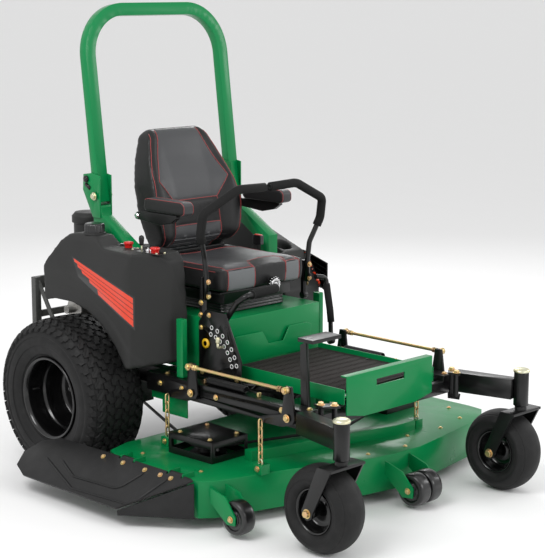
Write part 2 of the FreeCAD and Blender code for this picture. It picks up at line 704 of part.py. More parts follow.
# ---------------------------------------------------------------- hand levers and height plate
node("parking_brake_lever", shaped(round_tube([(345, -655, 520), (345, -650, 640), (345, -622, 790),
                                               (285, -618, 800)], 10, [60, 22])),
     rod(16, 20, (335, -655, 520), (1, 0, 0)))
node("height_lever", fuse(shaped(round_tube([(-302, -606, 610), (-300, -752, 790), (-285, -786, 816),
                                             (-190, -776, 820)], 12, [16, 20])),
                          rod(19, 150, (-250, -782, 817), (1, 0.1, 0.03)),
                          rod(20, 28, (-316, -606, 608), (1, 0, 0)), rod(8, 12, (-325.7, -606, 608), (1, 0, 0))))


def height_plate():
    """The slotted black plate with two arcs of height holes."""
    outline = [(-560, 466), (-800, 466), (-806, 560), (-716, 742), (-600, 742), (-560, 690)]
    body = plate("YZ_Plane", outline, -332, 6)
    holes = []
    for row, reach in enumerate((150, 178)):
        for k in range(7):
            angle = math.radians(14 + 11 * k)
            spot = (-340, -606 - reach * math.cos(angle), 500 + reach * math.sin(angle))
            holes.append(rod(6, 20, spot, (1, 0, 0)))
    return cut(body, *holes)


node("height_plate", height_plate())
node("height_pin", fuse(rod(5.9, 46, (-364, -708.3, 609.7), (1, 0, 0)), rod(9, 8, (-368, -708.3, 609.7), (1, 0, 0)),
                        rod(4, 44, (-364, -708.3, 588), (0, 0, 1))))


# ---------------------------------------------------------------- deck lift
def crank(side, y):
    """A bell crank: an upright lug for the rod and an arm to the rear for the chain."""
    z, rise, reach, drop = D["crank_z"], D["rod_rise"], D["chain_reach"], D["chain_drop"]
    outline = [(y - 22, z - 22), (y + 30, z - 40), (y + reach + 12, z - drop - 12), (y + reach + 12, z - drop + 12),
               (y + 34, z + 8), (y + 16, z + rise + 12), (y - 16, z + rise + 12), (y - 34, z)]
    return plate("YZ_Plane", outline, side * D["crank_x"] - 5, 10)


def lift_front():
    """Front cross shaft, its two cranks and the foot pedal."""
    y, z = D["crank_front_y"], D["crank_z"]
    shaft = rod(12, 2 * D["crank_x"], (-D["crank_x"], y, z), (1, 0, 0))
    arm = plate("YZ_Plane", [(y - 20, z - 16), (y + 20, z - 16), (y + 26, 690), (y - 4, 706)], -352, 14)
    pad = box((-352, y - 40, 702), (-196, y + 38, 716))
    collar = rod(20, 26, (-358, y, z), (1, 0, 0))
    return fuse(shaft, crank(-1, y), crank(1, y), arm, pad, collar)


def lift_rear():
    y, z = D["crank_rear_y"], D["crank_z"]
    shaft = rod(12, 2 * D["crank_x"], (-D["crank_x"], y, z), (1, 0, 0))
    return fuse(shaft, crank(-1, y), crank(1, y))


def lift_rod(side):
    """The plated rod between the tops of two cranks, with a bolt head at each end."""
    x, z = side * (D["crank_x"] + 15), D["crank_z"] + D["rod_rise"]
    y0, y1 = D["crank_front_y"], D["crank_rear_y"]
    bar = rod(7, y1 - y0, (x, y0, z), (0, 1, 0))
    eyes = [rod(13, 16, (side * (D["crank_x"] + 7) if side > 0 else side * (D["crank_x"] + 23), y, z), (1, 0, 0))
            for y in (y0, y1)]
    return fuse(bar, *eyes)


def spring(side):
    """The assist spring that lies along the rail."""
    x = side * 398
    return fuse(rod(15, 210, (x, -900, 481), (0, 1, 0)), rod(4, 70, (x, -970, 481), (0, 1, 0)),
                rod(4, 20, (x, -690, 481), (0, 1, 0)), box((x - 6, -976, 466), (x + 6, -966, 490)),
                box((x - 6, -674, 466), (x + 6, -664, 490)))


node("lift_front", lift_front())
node("lift_rear", lift_rear())
node("lift_rods", *mirror_pair(lift_rod))
node("lift_springs", *mirror_pair(spring))


# ---------------------------------------------------------------- deck
def inset(points, depth):
    """The outline moved inwards by one depth; points run anticlockwise."""
    moved, count = [], len(points)
    for i in range(count):
        a, b, c = points[i - 1], points[i], points[(i + 1) % count]
        d1, d2 = (b[0] - a[0], b[1] - a[1]), (c[0] - b[0], c[1] - b[1])
        l1, l2 = math.hypot(*d1), math.hypot(*d2)
        n1, n2 = (-d1[1] / l1, d1[0] / l1), (-d2[1] / l2, d2[0] / l2)
        k = depth / (1 + n1[0] * n2[0] + n1[1] * n2[1])
        moved.append((b[0] + (n1[0] + n2[0]) * k, b[1] + (n1[1] + n2[1]) * k))
    return moved


RIGHT, LEFT = num(D["deck_right"]), num(D["deck_left"])
DECK_PLAN = [(RIGHT, -470), (RIGHT, -945), (-640, -988), (-330, -1080), (-60, -1196), (100, -1228), (250, -1232),
             (756, -1146), (LEFT - 10, -1056), (LEFT, -980), (LEFT, -640), (860, -500), (700, -392), (560, -352),
             (-540, -352), (-660, -392)]
SPINDLES = [(D["spindle_right_x"], D["spindle_side_y"]), (D["spindle_mid_x"], D["spindle_mid_y"]),
            (D["spindle_left_x"], D["spindle_side_y"])]


def deck_shell():
    low, top, wall = D["deck_low"], D["deck_top"], D["deck_wall"]
    outer = plate("XY_Plane", DECK_PLAN, low, top - low)
    inner = plate("XY_Plane", inset(DECK_PLAN, num(wall)), low - 5, top - low + 5 - wall)
    mouth = box((D["deck_right"] - 20, -880, low - 5), (D["deck_right"] + 25, -500, top - 12))
    shell = cut(outer, inner, mouth)
    for x, y in SPINDLES:
        shell = cut(shell, rod(46, 40, (x, y, top - 20)))
    return shell


def deck_rib():
    """Folded channels welded on the deck's top, the lip round its front, and the lift brackets."""
    top = D["deck_top"]
    made = []
    rib = [(-372, -905), (300, -1062), (424, -1062), (424, -1022), (300, -1022), (-372, -865)]
    made.append(plate("XY_Plane", rib, top, 42))
    for side in (-1, 1):
        for y in (D["crank_rear_y"] + D["chain_reach"], D["crank_front_y"] + D["chain_reach"]):
            x = side * 452
            made.append(box((x - 22, y - 22, top), (x + 22, y + 22, top + 38)))
    return made


def chute_ears():
    """Two pairs of ears on the deck's edge, each pair with the pin that the chute turns on."""
    made = []
    x, z = D["deck_right"], D["deck_top"]
    for y in (-880, -600):
        ears = [box((x - 24, y + near, z), (x + 34, y + near + 6, z + 19)) for near in (-7, 71)]
        made.append(fuse(*ears, rod(4, 84, (x - 14, y - 7, z + 9.4), (0, 1, 0))))
    return made


def roller_bracket(x, y, reach):
    """Two cheek plates that hold an anti-scalp roller ahead of the deck, and the cross bolt."""
    half = D["roller_width"] / 2 + 4
    z = D["roller_z"]
    cheek = [(y - 22, z - 20), (y + 20, z - 24), (y + reach, z + 40), (y + reach, z + 96), (y + 30, z + 80),
             (y - 24, z + 12)]
    pieces = [plate("YZ_Plane", cheek, x - half - 6, 6), plate("YZ_Plane", cheek, x + half, 6)]
    pieces.append(rod(8, 2 * half + 12, (x - half - 6, y, z), (1, 0, 0)))
    return fuse(*pieces)


ROLLERS = {"right": (-640, -1108, 108)}
MID_ROLLERS = (112, -1352)
node("deck_shell", deck_shell())
mid_x, mid_y = MID_ROLLERS
wide = D["roller_width"]
node("deck_brackets", *deck_rib(), *chute_ears(), *[roller_bracket(*spot) for spot in ROLLERS.values()],
     fuse(plate("YZ_Plane", [(mid_y - 24, 54), (mid_y + 26, 48), (-1234, 120), (-1234, 176), (mid_y + 30, 150),
                             (mid_y - 26, 92)], mid_x - wide - 14, 6),
          rod(8, 2 * wide + 20, (mid_x - wide - 14, mid_y, D["roller_z"]), (1, 0, 0)),
          plate("YZ_Plane", [(mid_y - 24, 54), (mid_y + 26, 48), (-1234, 120), (-1234, 176), (mid_y + 30, 150),
                             (mid_y - 26, 92)], mid_x + wide + 8, 6)))


def roller(x, y):
    r, half = D["roller_radius"], D["roller_width"] / 2
    profile = [(8.1, -1 * half), (r * 0.55, -1 * half), (r * 0.86, -1 * half * 0.8), (r, -1 * half * 0.25),
               (r, half * 0.25), (r * 0.86, half * 0.8), (r * 0.55, half), (8.1, half)]
    return turned(profile, (x, y, D["roller_z"]), (1, 0, 0))


for name, (x, y, _) in ROLLERS.items():
    node(f"roller_{name}", roller(x, y))
node("roller_pair", roller(mid_x - wide / 2 - 3, mid_y), roller(mid_x + wide / 2 + 3, mid_y))


def spindle_housing(x, y):
    top = D["deck_top"]
    return turned([(12.6, -78), (40, -78), (40, -6), (44, 0), (74, 0), (74, 9), (44, 12), (34, 30), (12.6, 30)],
                  (x, y, top))


def blade_spindle(x, y, angle):
    """Shaft, grooved pulley, and a blade with raised tips."""
    z, half = D["blade_z"], D["blade_length"] / 2
    shaft = rod(12.5, 190, (x, y, z))
    pulley = turned([(12.5, 0), (64, 0), (54, 8), (54, 12), (64, 20), (12.5, 20)], (x, y, D["deck_top"] + 34))
    blade = plate("XY_Plane", [(-half, -32), (half - 90, -32), (half - 70, -20), (half, -20), (half, 32),
                               (90 - half, 32), (70 - half, 20), (-half, 20)], 0, 6)
    place(blade, (x, y, z - 6), (0, 0, 1), angle)
    bolt = hex_bolts([(x, y, z - 6)], (0, 0, -1), 16, 12)[0]
    return fuse(shaft, pulley, blade, bolt)


for (x, y), name, angle in zip(SPINDLES, ("right", "middle", "left"), (20, 95, 160)):
    node(f"blade_{name}", blade_spindle(x, y, angle))


IDLER_CORNER, IDLER_RADIUS = (300.0, -430.0), 34.0
BELT_TURN, BELT_THICK, BELT_TALL = 68.9, 9.0, 10.0


def belt_line(offset):
    """The corners of the belt's straight runs, moved out from the pulleys' centres."""
    centres = [(0.0, 200.0)] + [(num(x), num(y)) for x, y in SPINDLES] + [IDLER_CORNER]
    return [Vector(x, y, num(D["deck_top"]) + 39) for x, y in inset(centres, -offset)]


def belt_idler():
    """The plain wheel outside the belt's left run, on a post that stands on the deck."""
    corners = belt_line(BELT_TURN + BELT_THICK / 2)
    corner, before, after = corners[-1], corners[-2], corners[0]
    a, b = (before - corner).normalize(), (after - corner).normalize()
    reach = (IDLER_RADIUS + 0.4) / math.sin(a.getAngle(b) / 2)
    spot = corner + (a + b).normalize() * reach
    top = num(D["deck_top"])
    return fuse(rod(IDLER_RADIUS, 16, (spot.x, spot.y, top + 36)), rod(10, 56, (spot.x, spot.y, top)))


def deck_belt():
    """The belt round the engine's pulley and the three blade pulleys, with an idler that bends its left run in."""
    half, idler = BELT_THICK / 2, IDLER_RADIUS + 0.4
    outer = rounded_wire(belt_line(BELT_TURN + half), [BELT_TURN + half] * 4 + [idler], closed=True)
    inner = rounded_wire(belt_line(BELT_TURN - half), [BELT_TURN - half] * 4 + [idler + BELT_THICK], closed=True)
    return shaped(Part.Face(outer).cut(Part.Face(inner)).extrude(Vector(0, 0, BELT_TALL)))


node("deck_belt", deck_belt())


def belt_cover(x, y):
    """A folded cover over one outer pulley, open towards the middle."""
    top = D["deck_top"]
    outline = [(x - 96, y - 124), (x + 96, y - 124), (x + 104, y + 120), (x - 104, y + 120)]
    outer = plate("XY_Plane", outline, top, 84)
    inner = plate("XY_Plane", [(x - 92, y - 120), (x + 92, y - 120), (x + 100, y + 116), (x - 100, y + 116)],
                  top - 1, 82)
    gap = box((x - 150, y - 114, top + 26), (x + 150, y + 104, top + 60))
    ends = box((x - 80, y - 130, top + 26), (x + 80, y + 140, top + 60))
    return cut(outer, inner, gap, ends)


node("belt_covers", belt_cover(*SPINDLES[0]), belt_cover(*SPINDLES[2]),
     *[spindle_housing(x, y) for x, y in SPINDLES], belt_idler())


def chain(side, y):
    """Four links that hang from a crank to its bracket on the deck."""
    x = side * 458
    top = num(D["crank_z"]) - num(D["chain_drop"])
    bottom = num(D["deck_top"]) + 49
    pieces = []
    links, wire, half = 5, 3.5, 9.0
    pitch = (top - bottom) / links
    for k in range(links):
        z = bottom + pitch * (k + 0.5)
        tall = pitch / 2 + 5
        across = (0, 1, 0) if k % 2 else (1, 0, 0)
        ends = []
        for s, t in ((-1, -1), (1, -1), (1, 1), (-1, 1)):
            ends.append((x + across[0] * s * half, y + across[1] * s * half, z + t * tall))
        path = rounded_wire(ends, half - 0.5, closed=True)
        first = path.Edges[1]
        spot, along = first.Vertexes[0].Point, first.tangentAt(first.FirstParameter)
        ring = Part.Wire([Part.Circle(spot, along, wire).toShape()])
        pieces.append(shaped(path.makePipeShell([ring], True, True)))
    return pieces


chain_ends = [(side, num(y) + num(D["chain_reach"])) for side in (-1, 1)
              for y in (D["crank_rear_y"], D["crank_front_y"])]
node("lift_chains", *sum([chain(side, y) for side, y in chain_ends], []))


def chute():
    """The hinged deflector: a sloping sheet, its oblique front skirt, and two hinge knuckles."""
    slope = math.radians(35)
    x, z = num(D["deck_right"]) - 14, num(D["deck_top"]) + 9.4
    outline = [(-4, -930), (-4, -480), (-8, -150), (-44, -64), (-120, -18), (-188, -42), (-222, -120), (-224, -700),
               (-10, -945)]
    flap = place(plate("XY_Plane", outline, -4, 8), (x, 0, z), (-math.sin(slope), 0, math.cos(slope)))
    inner, outer = Vector(x - 8, -945, 0), Vector(x - 182, -705, 0)
    heights = (48, z - 12, z - 134, 48)
    corners = [inner, inner, outer, outer]
    face = Part.Face(Part.makePolygon([Vector(c.x, c.y, tall) for c, tall in zip(corners, heights)]
                                      + [Vector(inner.x, inner.y, heights[0])]))
    across = (outer - inner).cross(Vector(0, 0, 1)).normalize() * 6
    skirt = shaped(face.extrude(across))
    made = fuse(flap, skirt, *[rod(9, 70, (x, y, z), (0, 1, 0)) for y in (-880, -600)])
    room = [box((x - 17, y - 12, z - 20), (x + 40, y - 0.6, z + 20)) for y in (-880, -600)]
    room += [box((x - 17, y + 70.6, z - 20), (x + 40, y + 82, z + 20)) for y in (-880, -600)]
    return cut(made, *room, *[rod(4.06, 120, (x, y - 20, z), (0, 1, 0)) for y in (-880, -600)])


node("discharge_chute", chute())


# ---------------------------------------------------------------- write the parts
def check_document():
    doc.recompute()
    for thing in doc.Objects:
        if "Invalid" in thing.State or "Error" in thing.State:
            raise RuntimeError(f"{thing.Name} ({thing.Label}) did not build: {thing.State}")


def write_nodes():
    os.makedirs("parts", exist_ok=True)
    for made in nodes:
        shape = made.Shape
        if shape.isNull() or not shape.isValid() or not shape.Solids:
            raise RuntimeError(f"{made.Label} is not a valid solid")
        shape.exportStep(f"parts/{made.Label}.step")
    print(len(nodes), "nodes written")


check_document()
write_nodes()
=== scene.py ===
import json
import math
import random

import bpy
import numpy as np
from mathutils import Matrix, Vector
from mathutils.bvhtree import BVHTree


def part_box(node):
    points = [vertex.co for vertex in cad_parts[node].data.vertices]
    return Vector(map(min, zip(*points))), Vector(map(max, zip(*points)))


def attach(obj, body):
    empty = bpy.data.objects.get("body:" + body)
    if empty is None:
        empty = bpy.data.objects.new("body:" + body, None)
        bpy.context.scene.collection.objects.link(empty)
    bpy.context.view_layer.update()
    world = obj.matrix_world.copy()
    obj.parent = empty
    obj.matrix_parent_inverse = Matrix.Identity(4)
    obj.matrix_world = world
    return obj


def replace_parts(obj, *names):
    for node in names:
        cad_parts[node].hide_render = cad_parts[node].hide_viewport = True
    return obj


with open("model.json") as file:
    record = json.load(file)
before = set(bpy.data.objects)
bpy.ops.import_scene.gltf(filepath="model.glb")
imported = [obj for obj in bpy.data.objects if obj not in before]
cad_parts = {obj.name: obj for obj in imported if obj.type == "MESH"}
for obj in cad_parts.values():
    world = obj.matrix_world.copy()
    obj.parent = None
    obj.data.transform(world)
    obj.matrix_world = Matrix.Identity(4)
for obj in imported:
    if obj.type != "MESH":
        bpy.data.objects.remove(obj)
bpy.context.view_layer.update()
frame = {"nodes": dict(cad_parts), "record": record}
random.seed(7)

MM = 0.001
left_tyre, right_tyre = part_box("rear_tyre_left"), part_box("rear_tyre_right")
AXLE_Y = (left_tyre[0].y + left_tyre[1].y) / 2
CENTRE_X = (left_tyre[1].x + right_tyre[0].x) / 2
SIDES = {"right": -1, "left": 1}
UP = (0, 0, 1)


def at(x, y, z):
    """A point given in millimetres from the centre line, the drive axle and the ground."""
    return Vector((CENTRE_X + x * MM, AXLE_Y + y * MM, z * MM))


def centre_of(node):
    """The middle of a node's box."""
    low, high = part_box(node)
    return (low + high) / 2


# ---------------------------------------------------------------- camera
camera_data = bpy.data.cameras.new("Camera")
camera_data.sensor_width = 36
camera_data.lens = 103.3
camera_data.clip_end = 600
camera = bpy.data.objects.new("Camera", camera_data)
bpy.context.scene.collection.objects.link(camera)
camera.location = at(-4557, -5198, 2022)
camera.rotation_mode = "QUATERNION"
camera.rotation_quaternion = Vector((0.6957, 0.6949, -0.182)).to_track_quat("-Z", "Y")
bpy.context.scene.camera = camera


# ---------------------------------------------------------------- materials
class Paint:
    """A procedural material under construction: one Principled shader and helpers for its inputs."""

    def __init__(self, name, colour, rough, metal=0.0, coat=0.0, sheen=0.0, specular=0.5):
        self.made = bpy.data.materials.new(name)
        self.made.use_nodes = True
        self.tree = self.made.node_tree
        self.shader = self.tree.nodes["Principled BSDF"]
        self.colour = (*colour, 1.0)
        self.shader.inputs["Base Color"].default_value = self.colour
        self.shader.inputs["Roughness"].default_value = rough
        self.shader.inputs["Metallic"].default_value = metal
        self.shader.inputs["Coat Weight"].default_value = coat
        self.shader.inputs["Coat Roughness"].default_value = 0.12
        self.shader.inputs["Sheen Weight"].default_value = sheen
        self.shader.inputs["Specular IOR Level"].default_value = specular
        self.where = self.add("ShaderNodeTexCoord").outputs["Object"]

    def add(self, kind, **inputs):
        made = self.tree.nodes.new(kind)
        for name, value in inputs.items():
            made.inputs[name].default_value = value
        return made

    def link(self, a, b):
        self.tree.links.new(a, b)

    def noise(self, scale, detail=3.0, rough=0.5, stretch=None):
        made = self.add("ShaderNodeTexNoise", Scale=scale, Detail=detail, Roughness=rough)
        self.link(self.stretched(stretch), made.inputs["Vector"])
        return made.outputs["Fac"]

    def cells(self, scale, feature="DISTANCE_TO_EDGE"):
        made = self.add("ShaderNodeTexVoronoi", Scale=scale)
        made.feature = feature
        self.link(self.where, made.inputs["Vector"])
        return made.outputs["Distance"]

    def stretched(self, stretch):
        if stretch is None:
            return self.where
        made = self.add("ShaderNodeMapping")
        made.inputs["Scale"].default_value = stretch
        self.link(self.where, made.inputs["Vector"])
        return made.outputs["Vector"]

    def ramp(self, source, low, high, low_value=(0, 0, 0), high_value=(1, 1, 1)):
        made = self.add("ShaderNodeValToRGB")
        made.color_ramp.elements[0].position = low
        made.color_ramp.elements[1].position = high
        made.color_ramp.elements[0].color = (*low_value, 1)
        made.color_ramp.elements[1].color = (*high_value, 1)
        self.link(source, made.inputs["Fac"])
        return made.outputs["Color"]

    def mix(self, share, other, amount=1.0):
        """Mixes another colour into the base colour where share is bright."""
        scaled = self.add("ShaderNodeMath")
        scaled.operation = "MULTIPLY"
        self.link(share, scaled.inputs[0])
        scaled.inputs[1].default_value = amount
        made = self.add("ShaderNodeMix")
        made.data_type = "RGBA"
        base = self.shader.inputs["Base Color"]
        if base.is_linked:
            self.link(base.links[0].from_socket, made.inputs["A"])
        else:
            made.inputs["A"].default_value = self.colour
        made.inputs["B"].default_value = (*other, 1)
        self.link(scaled.outputs[0], made.inputs["Factor"])
        self.link(made.outputs["Result"], base)
        return self

    def roughness(self, source, low, high):
        made = self.add("ShaderNodeMapRange")
        made.inputs["To Min"].default_value = low
        made.inputs["To Max"].default_value = high
        self.link(source, made.inputs["Value"])
        self.link(made.outputs["Result"], self.shader.inputs["Roughness"])
        return self

    def bump(self, source, strength, distance=0.001):
        made = self.add("ShaderNodeBump", Strength=strength, Distance=distance)
        self.link(source, made.inputs["Height"])
        normal = self.shader.inputs["Normal"]
        if normal.is_linked:
            self.link(normal.links[0].from_socket, made.inputs["Normal"])
        self.link(made.outputs["Normal"], normal)
        return self


def green_paint():
    made = Paint("green_powder_coat", (0.0005, 0.2, 0.056), 0.36, coat=0.12, specular=0.22)
    made.mix(made.noise(3.5), (0.0003, 0.165, 0.045), 0.6)
    made.mix(made.ramp(made.noise(55, 8, 0.7), 0.66, 0.74), (0.01, 0.26, 0.1), 0.25)
    made.roughness(made.noise(9, 4), 0.22, 0.4)
    return made.bump(made.noise(520, 2), 0.06).bump(made.noise(6, 2), 0.12, 0.002)


def black_paint():
    made = Paint("black_powder_coat", (0.004, 0.004, 0.0042), 0.3, coat=0.12, specular=0.35)
    made.mix(made.ramp(made.noise(40, 8, 0.7), 0.6, 0.78), (0.014, 0.014, 0.014), 0.5)
    made.roughness(made.noise(14, 5), 0.22, 0.42)
    return made.bump(made.noise(700, 2), 0.12)


def grey_paint():
    made = Paint("grey_textured_coat", (0.05, 0.051, 0.049), 0.5)
    made.mix(made.ramp(made.noise(120, 6), 0.45, 0.7), (0.085, 0.085, 0.08), 0.6)
    return made.bump(made.noise(420, 3), 0.3)


def tank_plastic():
    made = Paint("rotomoulded_plastic", (0.0155, 0.0158, 0.0155), 0.5, specular=0.3)
    made.mix(made.noise(4, 4), (0.022, 0.022, 0.0215), 0.7)
    made.mix(made.ramp(made.noise(900, 2), 0.55, 0.7), (0.04, 0.04, 0.04), 0.22)
    made.roughness(made.noise(12, 5), 0.44, 0.64)
    return made.bump(made.noise(650, 3), 0.4, 0.0006).bump(made.noise(9, 3), 0.16, 0.003)


def tyre_rubber():
    made = Paint("tyre_rubber", (0.0075, 0.0075, 0.0077), 0.58, specular=0.28)
    made.mix(made.ramp(made.noise(30, 7), 0.5, 0.8), (0.02, 0.0195, 0.019), 0.5)
    made.roughness(made.noise(22, 5), 0.48, 0.75)
    return made.bump(made.noise(300, 4), 0.25)


def rim_paint():
    made = Paint("gloss_black_rim", (0.003, 0.003, 0.0032), 0.2, coat=0.3, specular=0.4)
    made.roughness(made.noise(25, 4), 0.16, 0.3)
    return made.bump(made.noise(260, 2), 0.05)


def vinyl(name, colour, lighter):
    made = Paint(name, colour, 0.4, specular=0.34)
    made.mix(made.noise(7, 5), lighter, 0.55)
    made.roughness(made.noise(16, 4), 0.34, 0.5)
    made.bump(made.cells(620), 0.35, 0.0005)
    return made.bump(made.noise(26, 4, 0.6, (1.0, 1.0, 0.45)), 0.22, 0.0025)


def thread():
    made = Paint("red_thread", (0.33, 0.02, 0.02), 0.6, sheen=0.3)
    return made.bump(made.noise(2600, 2), 0.5, 0.0002)


def foam():
    made = Paint("lever_foam", (0.009, 0.009, 0.009), 0.8, specular=0.2)
    made.mix(made.ramp(made.noise(700, 4), 0.5, 0.75), (0.018, 0.018, 0.018), 0.5)
    return made.bump(made.noise(900, 5, 0.7), 0.6, 0.0008)


def zinc(name, colour, tint, rough):
    made = Paint(name, colour, rough, metal=0.92)
    made.mix(made.ramp(made.noise(38, 5), 0.4, 0.65), tint, 0.7)
    made.roughness(made.noise(90, 5), rough - 0.08, rough + 0.14)
    return made.bump(made.noise(800, 3), 0.12, 0.0004)


def mat_rubber():
    made = Paint("speckled_mat", (0.016, 0.0135, 0.013), 0.85, specular=0.2)
    made.mix(made.ramp(made.noise(480, 2, 0.8), 0.6, 0.66), (0.15, 0.13, 0.12), 0.75)
    made.mix(made.noise(5, 3), (0.04, 0.034, 0.032), 0.5)
    return made.bump(made.noise(620, 4, 0.8), 0.8, 0.0015)


def plain_metal(name, colour, rough, stretch=None):
    made = Paint(name, colour, rough, metal=1.0)
    made.mix(made.ramp(made.noise(24, 6), 0.45, 0.72), tuple(c * 0.55 for c in colour), 0.7)
    made.roughness(made.noise(60, 5, 0.6, stretch), rough - 0.1, rough + 0.15)
    return made.bump(made.noise(420, 3, 0.6, stretch), 0.15, 0.0004)


def gloss_plastic(name, colour):
    made = Paint(name, colour, 0.28, coat=0.3)
    made.mix(made.noise(40, 4), tuple(c * 0.75 for c in colour), 0.5)
    return made.bump(made.noise(420, 2), 0.05)


def chute_plastic():
    made = Paint("chute_rubber", (0.006, 0.006, 0.0062), 0.36, specular=0.36)
    made.mix(made.ramp(made.noise(14, 7, 0.65), 0.45, 0.8), (0.02, 0.02, 0.0205), 0.5)
    made.roughness(made.noise(10, 5), 0.34, 0.6)
    return made.bump(made.noise(420, 4), 0.28).bump(made.noise(11, 3), 0.2, 0.003)


def decal(name, colour):
    made = Paint(name, colour, 0.3, coat=0.4)
    made.mix(made.noise(9, 4), tuple(c * 0.7 for c in colour), 0.5)
    return made.bump(made.noise(500, 2), 0.08, 0.0003)


PAINTS = {
    "green_paint": green_paint(),
    "black_paint": black_paint(),
    "guard_paint": grey_paint(),
    "tank_plastic": tank_plastic(),
    "tyre_rubber": tyre_rubber(),
    "rim_paint": rim_paint(),
    "mat_rubber": mat_rubber(),
    "seat_vinyl": vinyl("vinyl_black", (0.008, 0.008, 0.0083), (0.016, 0.016, 0.0165)),
    "seat_grey": vinyl("vinyl_grey", (0.045, 0.046, 0.049), (0.075, 0.077, 0.081)),
    "seat_light": vinyl("vinyl_light", (0.12, 0.128, 0.132), (0.17, 0.18, 0.185)),
    "thread": thread(),
    "lever_foam": foam(),
    "zinc": zinc("yellow_zinc", (0.62, 0.5, 0.22), (0.75, 0.42, 0.26), 0.34),
    "pale_zinc": zinc("pale_zinc", (0.66, 0.66, 0.5), (0.7, 0.62, 0.36), 0.36),
    "engine_black": black_paint(),
    "cowl_plastic": tank_plastic(),
    "exhaust_steel": plain_metal("exhaust_steel", (0.45, 0.44, 0.42), 0.45),
    "bare_steel": plain_metal("ground_steel", (0.42, 0.42, 0.43), 0.38, (1, 1, 30)),
    "belt_rubber": tyre_rubber(),
    "roller_plastic": gloss_plastic("roller_nylon", (0.007, 0.007, 0.0075)),
    "chute_plastic": chute_plastic(),
    "red_plastic": gloss_plastic("red_knob", (0.62, 0.01, 0.006)),
    "yellow_plastic": gloss_plastic("yellow_cap", (0.7, 0.42, 0.01)),
    "chrome": plain_metal("chrome", (0.75, 0.75, 0.76), 0.16),
    "decal_red": decal("decal_red", (0.72, 0.045, 0.012)),
    "decal_black": decal("decal_black", (0.006, 0.006, 0.006)),
    "decal_white": decal("decal_white", (0.75, 0.75, 0.75)),
}
PAINTS = {name: paint.made for name, paint in PAINTS.items()}


# ---------------------------------------------------------------- mesh tools
def piece(name, verts, faces, body, paint, slot=None, smooth=True):
    """A mesh that rides on a body. paint is one name, or a list of names that faces pick by index."""
    mesh = bpy.data.meshes.new(name)
    mesh.from_pydata([tuple(v) for v in verts], [], faces)
    mesh.validate()
    made = bpy.data.objects.new(name, mesh)
    bpy.context.scene.collection.objects.link(made)
    for one in [paint] if isinstance(paint, str) else paint:
        mesh.materials.append(PAINTS[one])
    mesh.polygons.foreach_set("use_smooth", [smooth] * len(mesh.polygons))
    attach(made, body)
    return made


def frame_from(axis):
    """Two directions square to an axis."""
    axis = Vector(axis).normalized()
    first = axis.orthogonal().normalized()
    return axis, first, axis.cross(first)


def lathe_mesh(profile, centre, axis, steps=64, closed=False):
    """Points and faces of a profile of (radius, along) in mm, turned about an axis."""
    axis, first, second = frame_from(axis)
    verts, faces = [], []
    rows = len(profile)
    for k in range(steps):
        turn = 2 * math.pi * k / steps
        out = first * math.cos(turn) + second * math.sin(turn)
        for radius, along in profile:
            verts.append(Vector(centre) + out * (radius * MM) + axis * (along * MM))
    for k in range(steps):
        a, b = k * rows, ((k + 1) % steps) * rows
        for i in range(rows if closed else rows - 1):
            j = (i + 1) % rows
            faces.append((a + i, a + j, b + j, b + i))
    return verts, faces


def smooth_profile(points, steps=6):
    """Extra points on a Catmull-Rom curve through a closed or open profile."""
    count, found = len(points), []
    for i in range(count - 1):
        p0, p1 = points[max(i - 1, 0)], points[i]
        p2, p3 = points[i + 1], points[min(i + 2, count - 1)]
        for k in range(steps):
            t = k / steps
            found.append(tuple(
                0.5 * (2 * b + (c - a) * t + (2 * a - 5 * b + 4 * c - d) * t * t
                       + (3 * b - a - 3 * c + d) * t ** 3)
                for a, b, c, d in zip(p0, p1, p2, p3)))
    return found + [points[-1]]


def rounded_path(points, radius, steps=8):
    """A polyline whose corners are arcs, as a list of points."""
    spots = [Vector(p) for p in points]
    radii = radius if isinstance(radius, (list, tuple)) else [radius] * (len(spots) - 2)
    found = [spots[0]]
    for i, r in zip(range(1, len(spots) - 1), radii):
        before = (spots[i - 1] - spots[i]).normalized()
        after = (spots[i + 1] - spots[i]).normalized()
        half = before.angle(after) / 2
        if half > 1.56:
            found.append(spots[i])
            continue
        reach = r / math.tan(half)
        start, end = spots[i] + before * reach, spots[i] + after * reach
        centre = spots[i] + (before + after).normalized() * (r / math.sin(half))
        for k in range(steps + 1):
            found.append(centre + (start - centre).slerp(end - centre, k / steps).normalized() * r
                         if (start - centre).length > 1e-6 else start)
    return found + [spots[-1]]


def tube_mesh(path, radius, steps=12, cap=True):
    """A round bar along a path of points; radius in metres, one value or one for each point."""
    verts, faces, count = [], [], len(path)
    radii = radius if isinstance(radius, (list, tuple)) else [radius] * count
    normal = None
    for i, p in enumerate(path):
        along = (path[min(i + 1, count - 1)] - path[max(i - 1, 0)]).normalized()
        if normal is None:
            normal = along.orthogonal().normalized()
        normal = (normal - along * normal.dot(along)).normalized()
        across = along.cross(normal)
        for k in range(steps):
            turn = 2 * math.pi * k / steps
            verts.append(p + (normal * math.cos(turn) + across * math.sin(turn)) * radii[i])
    for i in range(count - 1):
        for k in range(steps):
            j = (k + 1) % steps
            faces.append((i * steps + k, i * steps + j, (i + 1) * steps + j, (i + 1) * steps + k))
    if cap:
        faces.append(tuple(range(steps))[::-1])
        faces.append(tuple(range((count - 1) * steps, count * steps)))
    return verts, faces


class Heap:
    """Several small meshes gathered into one piece."""

    def __init__(self):
        self.verts, self.faces = [], []

    def add(self, mesh):
        start = len(self.verts)
        self.verts += list(mesh[0])
        self.faces += [tuple(start + i for i in f) for f in mesh[1]]
        return self

    def piece(self, name, body, paint, slot=None, smooth=True):
        return piece(name, self.verts, self.faces, body, paint, slot, smooth)


